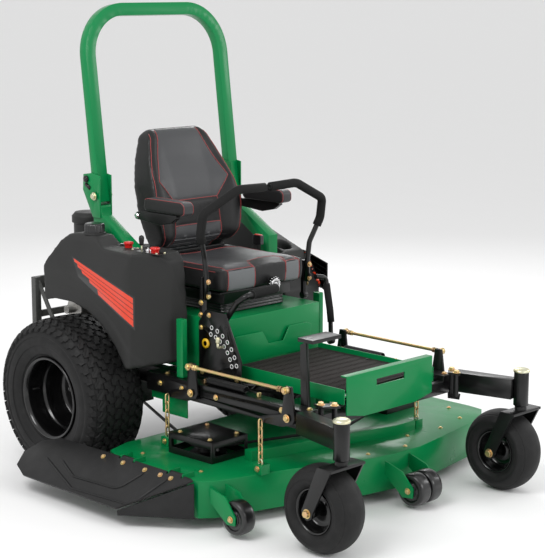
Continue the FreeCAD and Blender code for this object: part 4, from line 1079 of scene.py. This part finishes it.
# ---------------------------------------------------------------- seat dial, knobs and caps
def fluted(profile, centre, axis, flutes, depth, steps=96):
    """A turned knob whose rim is fluted; profile rows are (radius, along, share of the flutes)."""
    axis, first, second = frame_from(axis)
    verts, faces, rows = [], [], len(profile)
    for k in range(steps):
        turn = 2 * math.pi * k / steps
        wave = depth * (0.5 + 0.5 * math.cos(flutes * turn))
        out = first * math.cos(turn) + second * math.sin(turn)
        for radius, along, share in profile:
            verts.append(Vector(centre) + out * ((radius - wave * share) * MM) + axis * (along * MM))
    for k in range(steps):
        a, b = k * rows, ((k + 1) % steps) * rows
        faces += [(a + i, a + i + 1, b + i + 1, b + i) for i in range(rows - 1)]
    return verts, faces


dial = centre_of("seat_knob")
low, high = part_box("seat_knob")
dial_at = Vector((dial.x, high.y, dial.z))
rim = [(0.2, 9, 0), (26, 9, 0), (31, 11, 1), (31.6, 16, 1), (31, 27, 1), (27, 31, 0.6), (24, 31.5, 0)]
FORWARD = (0, -1, 0)
rim_piece = Heap().add(fluted(rim, dial_at, FORWARD, 16, 4.2))
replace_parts(rim_piece.piece("seat_dial_rim", "seat_dial", "black_paint", "chrome"), "seat_knob")
lathed("seat_dial_stem", "seat_dial", "chrome", [(9, 0), (9, 9)], dial_at, FORWARD, 24)
outer_ring = smooth_profile([(25, 31), (24, 32.4), (20, 32.6), (18.5, 31.6), (16, 31.4)], 3)
boss = smooth_profile([(11, 31.4), (10.4, 33), (4, 33.6), (0.1, 33.7)], 3)
face_rings = Heap().add(lathe_mesh(outer_ring, dial_at, FORWARD, 48))
face_rings.add(lathe_mesh(boss, dial_at, FORWARD, 40))
for k in range(16):
    turn = 2 * math.pi * (k + 0.5) / 16
    spot = dial_at + Vector((math.sin(turn) * 29.6 * MM, -14 * MM, math.cos(turn) * 29.6 * MM))
    face_rings.add(tube_mesh([spot, spot + Vector((0, -15 * MM, 0))], 1.7 * MM, 8))
face_rings.piece("seat_dial_face", "seat_dial", "chrome")
lathed("seat_dial_field", "seat_dial", "black_paint", [(24, 31.2), (11, 31.2)], dial_at, FORWARD, 40)

LEDGE = 962    # height in mm of the ledge for the hand controls on the right tank
KNOB_TALL = 62
knob = [(7, 0, 0), (7, 30, 0), (8, 33, 0), (15, 36, 0.4), (16.5, 40, 1), (15, 47, 1), (20, 52, 1),
        (20, 58, 1), (17, 61, 0.4), (0.2, KNOB_TALL, 0)]
for node, body, foot, tall in (("blade_switch", "blade_switch", (-440, -425, 930), 58),
                               ("choke_knob", "choke", (-440, -262, 930), KNOB_TALL)):
    rows = [(r, z * tall / KNOB_TALL, s) for r, z, s in knob]
    cap = Heap().add(fluted(rows, at(*foot), UP, 10, 1.6))
    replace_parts(cap.piece(f"{node}_cap", body, "red_plastic", "red_plastic"), node)
    lathed(f"{node}_collar", "frame", "black_paint", [(15, 0), (14.5, 3), (9, 3.6), (7.5, 3.6)],
           at(foot[0], foot[1], LEDGE), UP, 32)

stalk = tube_mesh([at(-440, -343, 945), at(-440, -343, 996)], 3.2 * MM, 10)
made = Heap().add(stalk).piece("throttle_stalk", "throttle", "pale_zinc", "chrome")
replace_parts(made, "throttle_lever")
Heap().add(fluted([(8, -8, 0), (9, -4, 0), (9, 0, 0), (11, 10, 1), (11.5, 20, 1), (9, 29, 0.5), (0.2, 33, 0)],
                  at(-440, -343, 994), UP, 8, 2)).piece("throttle_cap", "throttle", "black_paint")

for name, side in SIDES.items():
    low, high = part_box(f"fuel_cap_{name}")
    foot = Vector(((low.x + high.x) / 2, (low.y + high.y) / 2, low.z))
    rows = [(0.2, 0, 0), (38, 0, 0), (41.5, 4, 0.3), (42, 8, 1), (42, 33, 1), (39, 39, 0.5), (34, 41.5, 0),
            (20, 42, 0), (0.2, 42, 0)]
    cap = Heap().add(fluted(rows, foot, UP, 24, 3))
    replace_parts(cap.piece(f"fuel_cap_{name}_ribbed", f"fuel_cap_{name}", "roller_plastic", "tank_plastic"),
                f"fuel_cap_{name}")
    lathed(f"fuel_neck_{name}", "frame", "tank_plastic", [(46, -3), (47, 2), (44, 5), (40, 5)], foot, UP, 48)


# ---------------------------------------------------------------- console on the right tank
outline = [(-462, -478), (-418, -478), (-412, -470), (-412, -232), (-420, -224), (-456, -224), (-468, -240),
           (-468, -470)]
verts, faces = prism([at(x, y, 962.2) for x, y in outline], Vector((0, 0, 3 * MM)))
bevelled(piece("console_plate", verts, faces, "frame", "decal_black", None, False), 1.5, 2)
spots = [(at(x, y, LEDGE + 3), UP) for x, y in
         ((-422, -462), (-456, -452), (-424, -300), (-456, -306), (-424, -236))]
bolts("console_screws", "frame", "pale_zinc", spots, 4.2, 3)
lathed("key_switch", "frame", "chrome", [(11, 0), (11, 8), (9, 10), (4, 10), (4, 16), (0.1, 16)],
       at(-440, -384, LEDGE + 3), UP, 24)
lathed("hour_meter", "frame", "roller_plastic", [(20, 0), (22, 3), (22, 10), (18, 13), (0.1, 13)],
       at(-430, -196, LEDGE + 1), UP, 32)


# ---------------------------------------------------------------- height plate, lever and pin
rings = Heap()
for reach in (150, 178):
    for k in range(7):
        angle = math.radians(14 + 11 * k)
        spot = at(-332.2, -606 - reach * math.cos(angle), 500 + reach * math.sin(angle))
        rings.add(lathe_mesh([(6.1, 0.0), (6.3, 0.9), (9.2, 0.9), (9.4, 0.0)], spot, (-1, 0, 0), 28))
rings.piece("height_hole_rings", "frame", "decal_white")
spots = [(at(-332.2, y, z), (-1, 0, 0)) for y, z in ((-580, 486), (-780, 486), (-622, 724), (-575, 668))]
bolts("height_plate_bolts", "frame", "zinc", spots, 8, 5)
hub = Heap().add(lathe_mesh([(19, 0), (20, 3), (20, 6), (10, 7)], at(-333, -606, 608), (-1, 0, 0), 32))
hub.piece("height_lever_hub", "height_lever", "yellow_plastic")
grip_start, grip_end = at(-250, -782, 817), at(-101, -767, 821.5)
way = (grip_end - grip_start).normalized()
rows = [(12, -1), (17, -0.6), (19.4, 2), (19.4, 146), (17, 150.6), (0.1, 151)]
lathed("height_lever_grip", "height_lever", "lever_foam", rows, grip_start, way, 32, "lever_foam")
pin = rounded_path([at(-366, -708, 632), at(-366, -708, 610), at(-336, -708, 610)], 8 * MM, 6)
made = Heap().add(tube_mesh(pin, 5.6 * MM, 14)).piece("height_pin_rod", "height_pin", "pale_zinc", "zinc")
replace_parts(made, "height_pin")
lathed("height_pin_grip", "height_pin", "pale_zinc", [(0.1, 0), (8, 0), (9, 2), (9, 20), (7, 23), (0.1, 24)],
       at(-366, -708, 630), UP, 24)


# ---------------------------------------------------------------- brake handle
path = [at(345, -654, 600), at(345, -648, 650), at(345, -626, 762)]
Heap().add(tube_mesh(rounded_path([path[0], path[1], path[2]], 40 * MM, 5), 15 * MM, 20)).piece(
    "parking_brake_sleeve", "parking_brake", "lever_foam", "lever_foam")


# ---------------------------------------------------------------- lift linkage bolts and lock nuts
for name, side in SIDES.items():
    spots = []
    for y in (-1169, -638):
        spots.append((at(side * 463, y, 538), (side, 0, 0)))
    bolts(f"rod_end_bolts_{name}", "lift_rods", "zinc", spots, 10, 6)
    nuts = Heap()
    for y, way in ((-1169, 1), (-638, -1)):
        for reach in (22, 34):
            nuts.add(hexagon(at(side * 453, y + way * reach, 538), (0, way, 0), 12, 9))
    bevelled(nuts.piece(f"rod_lock_nuts_{name}", "lift_rods", "zinc", "zinc", False), 0.6, 1)
for body, y in (("lift_crank_front", -1169), ("lift_crank_rear", -638)):
    spots = [(at(side * 450.5, y, 430), (side, 0, 0)) for side in (-1, 1)]
    bolts(f"{body}_bolts", body, "zinc", spots, 12, 7)


# ---------------------------------------------------------------- caster and frame bolts
for name, side in SIDES.items():
    cap = smooth_profile([(32, 0), (33, 3), (32, 7), (27, 12), (17, 15), (0.1, 16)], 4)
    Heap().add(lathe_mesh(cap, at(side * 529, -1519, 500), UP, 40)).piece(
        f"caster_cap_{name}", "frame", "pale_zinc")
    heap = Heap()
    for flip in (-1, 1):
        spot = at(side * 529 + flip * 90, -1437, 165)
        heap.add(washer(spot, (flip, 0, 0), 18, 2.5))
        heap.add(hexagon(spot + Vector((flip * 2.5 * MM, 0, 0)), (flip, 0, 0), 14, 11))
    bevelled(heap.piece(f"caster_axle_{name}", f"caster_{name}", "zinc", "zinc", False), 0.8, 1)
    spots = [(at(side * 384, -1282, 492), UP), (at(side * 358, -1326, 492), UP)]
    bolts(f"arm_clamp_bolts_{name}", "frame", "zinc", spots, 12, 9)
spots = [(at(side * 395, y, 466), UP) for side in (-1, 1) for y in (-1235, -585, -440)]
bolts("rail_bolts", "frame", "zinc", spots, 9, 6)
spots = [(at(side * 426, y, z), (side, 0, 0)) for side in (-1, 1) for y, z in
         ((-1210, 430), (-1120, 448), (-760, 430), (-560, 430), (-430, 430))]
bolts("rail_side_bolts", "frame", "zinc", spots, 9, 6)


# ---------------------------------------------------------------- seat suspension bellows
bellows = []
for k in range(5):
    z = 694 + 12 * k
    for reach, rise in ((0, 0), (9, 3), (10, 6), (9, 9)):
        bellows.append((reach, z + rise))
corners = [(-170, -538), (170, -538), (170, -182), (-170, -182)]
verts, faces = [], []
ring_size = 0
for reach, z in bellows:
    ring = []
    for (x, y), (sx, sy) in zip(corners, ((-1, -1), (1, -1), (1, 1), (-1, 1))):
        for k in range(6):
            turn = math.pi / 2 * k / 5
            start = math.pi * {(-1, -1): 1.0, (1, -1): 1.5, (1, 1): 0.0, (-1, 1): 0.5}[(sx, sy)]
            ring.append(at(x - sx * 22 + (22 + reach) * math.cos(start + turn),
                           y - sy * 22 + (22 + reach) * math.sin(start + turn), z))
    ring_size = len(ring)
    verts += ring
for i in range(len(bellows) - 1):
    for k in range(ring_size):
        j = (k + 1) % ring_size
        below, above = i * ring_size, (i + 1) * ring_size
        faces.append((below + k, below + j, above + j, above + k))
bellow = piece("suspension_bellows", verts, faces, "frame", "roller_plastic", "black_paint")
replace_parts(bellow, "seat_base")


# ---------------------------------------------------------------- discharge chute
chute_mesh = node_surface("discharge_chute")
ribs = Heap()
for line in (((-740, -830), (-868, -760), (-880, -420), (-800, -150)),
             ((-745, -700), (-830, -640), (-838, -380), (-790, -240))):
    path = rounded_path([at(x, y, 400) for x, y in line], 60 * MM, 8)
    dense = []
    for a, b in zip(path, path[1:]):
        steps = max(1, int((b - a).length / 0.012))
        dense += [a.lerp(b, k / steps) for k in range(steps)]
    laid = []
    for spot in dense:
        hit, normal, _, _ = chute_mesh.ray_cast(spot, Vector((0, 0, -1)))
        if hit and normal.z > 0.3:
            laid.append(hit + normal * 0.5 * MM)
    if len(laid) > 3:
        sizes = [4.5 * MM] * len(laid)
        sizes[0] = sizes[-1] = 1 * MM
        ribs.add(tube_mesh(laid, sizes, 10))
if ribs.verts:
    ribs.piece("chute_ribs", "chute", "chute_plastic", "chute_plastic")
spots = []
for y in (-840, -780, -690, -560, -440):
    hit, normal, _, _ = chute_mesh.ray_cast(at(-735, y, 400), Vector((0, 0, -1)))
    if hit and normal.z > 0.3:
        spots.append((hit, normal))
bolts("chute_bolts", "chute", "zinc", spots, 8, 5)


# ---------------------------------------------------------------- bolts on the deck and its parts
deck_top = 190
spots = [(at(x, y, deck_top), UP) for x, y in
         ((-600, -520), (-600, -860), (-300, -480), (330, -1100), (520, -1120), (700, -1080), (800, -940),
          (800, -620), (640, -460), (-120, -1120), (20, -1160), (210, -1190))]
bolts("deck_carriage_bolts", "deck", "zinc", spots, 7, 4)
heap = Heap()
for x, y in ((-412, -700), (616, -700)):
    for sx in (-1, 1):
        for sy in (-1, 1):
            heap.add(washer(at(x + sx * 72, y + sy * 86, 274), UP, 11, 1.6))
            heap.add(hexagon(at(x + sx * 72, y + sy * 86, 275.6), UP, 8, 6))
bevelled(heap.piece("belt_cover_bolts", "deck", "zinc", "zinc", False), 0.5, 1)
for node, body in (("roller_right", "roller_right"), ("roller_pair", "roller_pair")):
    low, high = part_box(node)
    centre = centre_of(node)
    radius = (high.z - low.z) / 2 / MM
    half = (high.x - low.x) / 2 / MM
    heap = Heap()
    wheels = [(0, half)] if node == "roller_right" else [(-34, half - 34), (34, half - 34)]
    for shift, wide in wheels:
        rows = smooth_profile([(9, wide), (radius * 0.42, wide), (radius * 0.46, wide - 6),
                               (radius * 0.66, wide - 7), (radius * 0.72, wide - 1), (radius * 0.9, wide - 2),
                               (radius - 1, wide * 0.66), (radius, 0)], 4)
        rows = rows + [(r, -w) for r, w in rows[::-1][1:]]
        heap.add(lathe_mesh(rows, centre + Vector((shift * MM, 0, 0)), (1, 0, 0), 56))
    made = heap.piece(f"{node}_wheel", body, "roller_plastic", "roller_plastic")
    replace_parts(made, node)
    spots = [(at(0, 0, 0) + Vector((centre.x - CENTRE_X + s * (half + 10) * MM, centre.y - AXLE_Y, centre.z)),
              (s, 0, 0)) for s in (-1, 1)]
    bolts(f"{node}_bolts", "deck", "zinc", spots, 10, 7)


# ---------------------------------------------------------------- foot platform details
spots = [(at(s * 235, y, 506.2), UP) for s in (-1, 1) for y in (-1230, -960, -690)]
bolts("mat_studs", "frame", "black_paint", spots, 7, 2)
grip = [(-40, -1150), (60, -1150), (60, -1090), (-40, -1090)]
verts, faces = prism([at(x, y, 506.1) for x, y in grip], Vector((0, 0, 1.2 * MM)))
bevelled(piece("mat_patch", verts, faces, "frame", "decal_black", None, False), 0.4, 1)
treads = Heap()
for k in range(12):
    for j in range(34):
        x, y = -235 + 14.2 * j, -1225 + 48 * k
        if abs(x) < 248:
            treads.add(slab(at(x - 2, y - 9, 505.8), at(x + 2, y + 9, 507.2)))
treads.piece("mat_treads", "frame", "mat_rubber", "mat_rubber", False)


# ---------------------------------------------------------------- roll-bar knuckles
for name, side in SIDES.items():
    x = side * 374
    heap = Heap()
    for flip in (-1, 1):
        face = at(x + flip * 40, -12, 1150)
        heap.add(washer(face, (flip, 0, 0), 17, 2))
        heap.add(hexagon(face + Vector((flip * 2 * MM, 0, 0)), (flip, 0, 0), 13, 9))
    bevelled(heap.piece(f"knuckle_bolt_{name}", "roll_bar", "pale_zinc", "zinc", False), 0.6, 1)
    pin = Heap().add(tube_mesh([at(x - 44, 42, 1218), at(x + 44, 42, 1218)], 7 * MM, 16))
    pin_head = [(0.1, 0), (13, 0), (14, 2), (14, 8), (11, 10), (0.1, 10)]
    pin.add(lathe_mesh(pin_head, at(x + side * 33, 42, 1218), (side, 0, 0), 24))
    pin.piece(f"lock_pin_{name}", "frame", "black_paint", "black_paint")
    slot_path = rounded_path([at(x + side * 32.5, y, z) for y, z in ((20, 1180), (48, 1196))], [], 4)
    Heap().add(tube_mesh(slot_path, 8 * MM, 14)).piece(f"knuckle_slot_{name}", "frame", "black_paint")


# ---------------------------------------------------------------- seat-belt buckle
stalk_points = [at(262, -236, 800), at(272, -240, 850), at(286, -250, 890), at(292, -262, 906)]
outline = rounded_path(stalk_points, 20 * MM, 6)
verts, faces = [], []
for i, spot in enumerate(outline):
    verts += [spot + Vector((0, -20 * MM, 6 * MM)), spot + Vector((0, 20 * MM, -6 * MM)),
              spot + Vector((2.5 * MM, 20 * MM, -5 * MM)), spot + Vector((2.5 * MM, -20 * MM, 7 * MM))]
for i in range(len(outline) - 1):
    for k in range(4):
        j = (k + 1) % 4
        faces.append((i * 4 + k, i * 4 + j, i * 4 + 4 + j, i * 4 + 4 + k))
faces += [(3, 2, 1, 0), tuple(range(len(verts) - 4, len(verts)))]
piece("belt_stalk", verts, faces, "seat", "lever_foam", "seat_vinyl", True)
verts, faces = slab(at(282, -290, 896), at(304, -240, 938))
bevelled(piece("belt_buckle", verts, faces, "seat", "roller_plastic", "seat_vinyl", False), 4, 3)
verts, faces = slab(at(286, -285, 934), at(300, -248, 941))
bevelled(piece("belt_button", verts, faces, "seat", "red_plastic", "red_plastic", False), 1.5, 2)


# ---------------------------------------------------------------- engine details
grille = Heap()
for k in range(9):
    radius = 40 + 15 * k
    grille.add(lathe_mesh([(radius, 849), (radius + 2, 851.5), (radius + 6, 851.5), (radius + 8, 849)],
                          at(0, 210, 0), UP, 48))
grille.piece("engine_screen", "frame", "black_paint", "cowl_plastic")
bands = Heap()
for x in (-150, 150):
    bands.add(lathe_mesh([(50.2, -9), (51.6, -8), (51.6, 8), (50.2, 9)], at(x, 386, 590), (1, 0, 0), 48))
bands.piece("muffler_bands", "frame", "zinc", "exhaust_steel")


# ---------------------------------------------------------------- floor and light
def stage_plane(name, size, z, paint):
    mesh = bpy.data.meshes.new(name)
    half = size / 2
    corners = [(-half, -half, z), (half, -half, z), (half, half, z), (-half, half, z)]
    mesh.from_pydata(corners, [], [(0, 1, 2, 3)])
    made = bpy.data.objects.new(name, mesh)
    bpy.context.scene.collection.objects.link(made)
    mesh.materials.append(paint)
    return made


floor_paint = Paint("studio_floor", (0.86, 0.86, 0.86), 0.8, specular=0.1)
floor_paint.mix(floor_paint.noise(3), (0.84, 0.84, 0.84), 0.5)
stage_plane("floor", 400, -0.0005, floor_paint.made)

world = bpy.data.worlds.new("Studio")
bpy.context.scene.world = world
world.use_nodes = True
# the studio wall looks about as pale as the far floor
wall = world.node_tree.nodes["Background"]
wall.inputs["Color"].default_value = (1, 1, 1, 1)
seen = world.node_tree.nodes.new("ShaderNodeLightPath")
strength = world.node_tree.nodes.new("ShaderNodeMapRange")
strength.inputs["To Min"].default_value = 0.86
strength.inputs["To Max"].default_value = 0.84
world.node_tree.links.new(seen.outputs["Is Camera Ray"], strength.inputs["Value"])
world.node_tree.links.new(strength.outputs["Result"], wall.inputs["Strength"])


def area_light(name, spot, target, size, power):
    data = bpy.data.lights.new(name, "AREA")
    data.shape = "RECTANGLE"
    data.size, data.size_y = size
    data.energy = power
    made = bpy.data.objects.new(name, data)
    bpy.context.scene.collection.objects.link(made)
    made.location = spot
    made.rotation_mode = "QUATERNION"
    made.rotation_quaternion = (Vector(target) - Vector(spot)).to_track_quat("-Z", "Y")


area_light("key", (-3.4, -0.6, 4.2), (0, 0, 0.5), (2.4, 1.6), 110)
area_light("front", (0.6, -5.4, 2.6), (0, -0.4, 0.5), (2.6, 1.6), 70)
area_light("back", (3.6, 3.2, 3.4), (0, 0, 0.9), (2.4, 1.2), 60)
area_light("left", (4.6, -2.4, 2.6), (0, 0, 0.6), (2.0, 1.4), 44)
bpy.context.scene.view_settings.view_transform = "Standard"
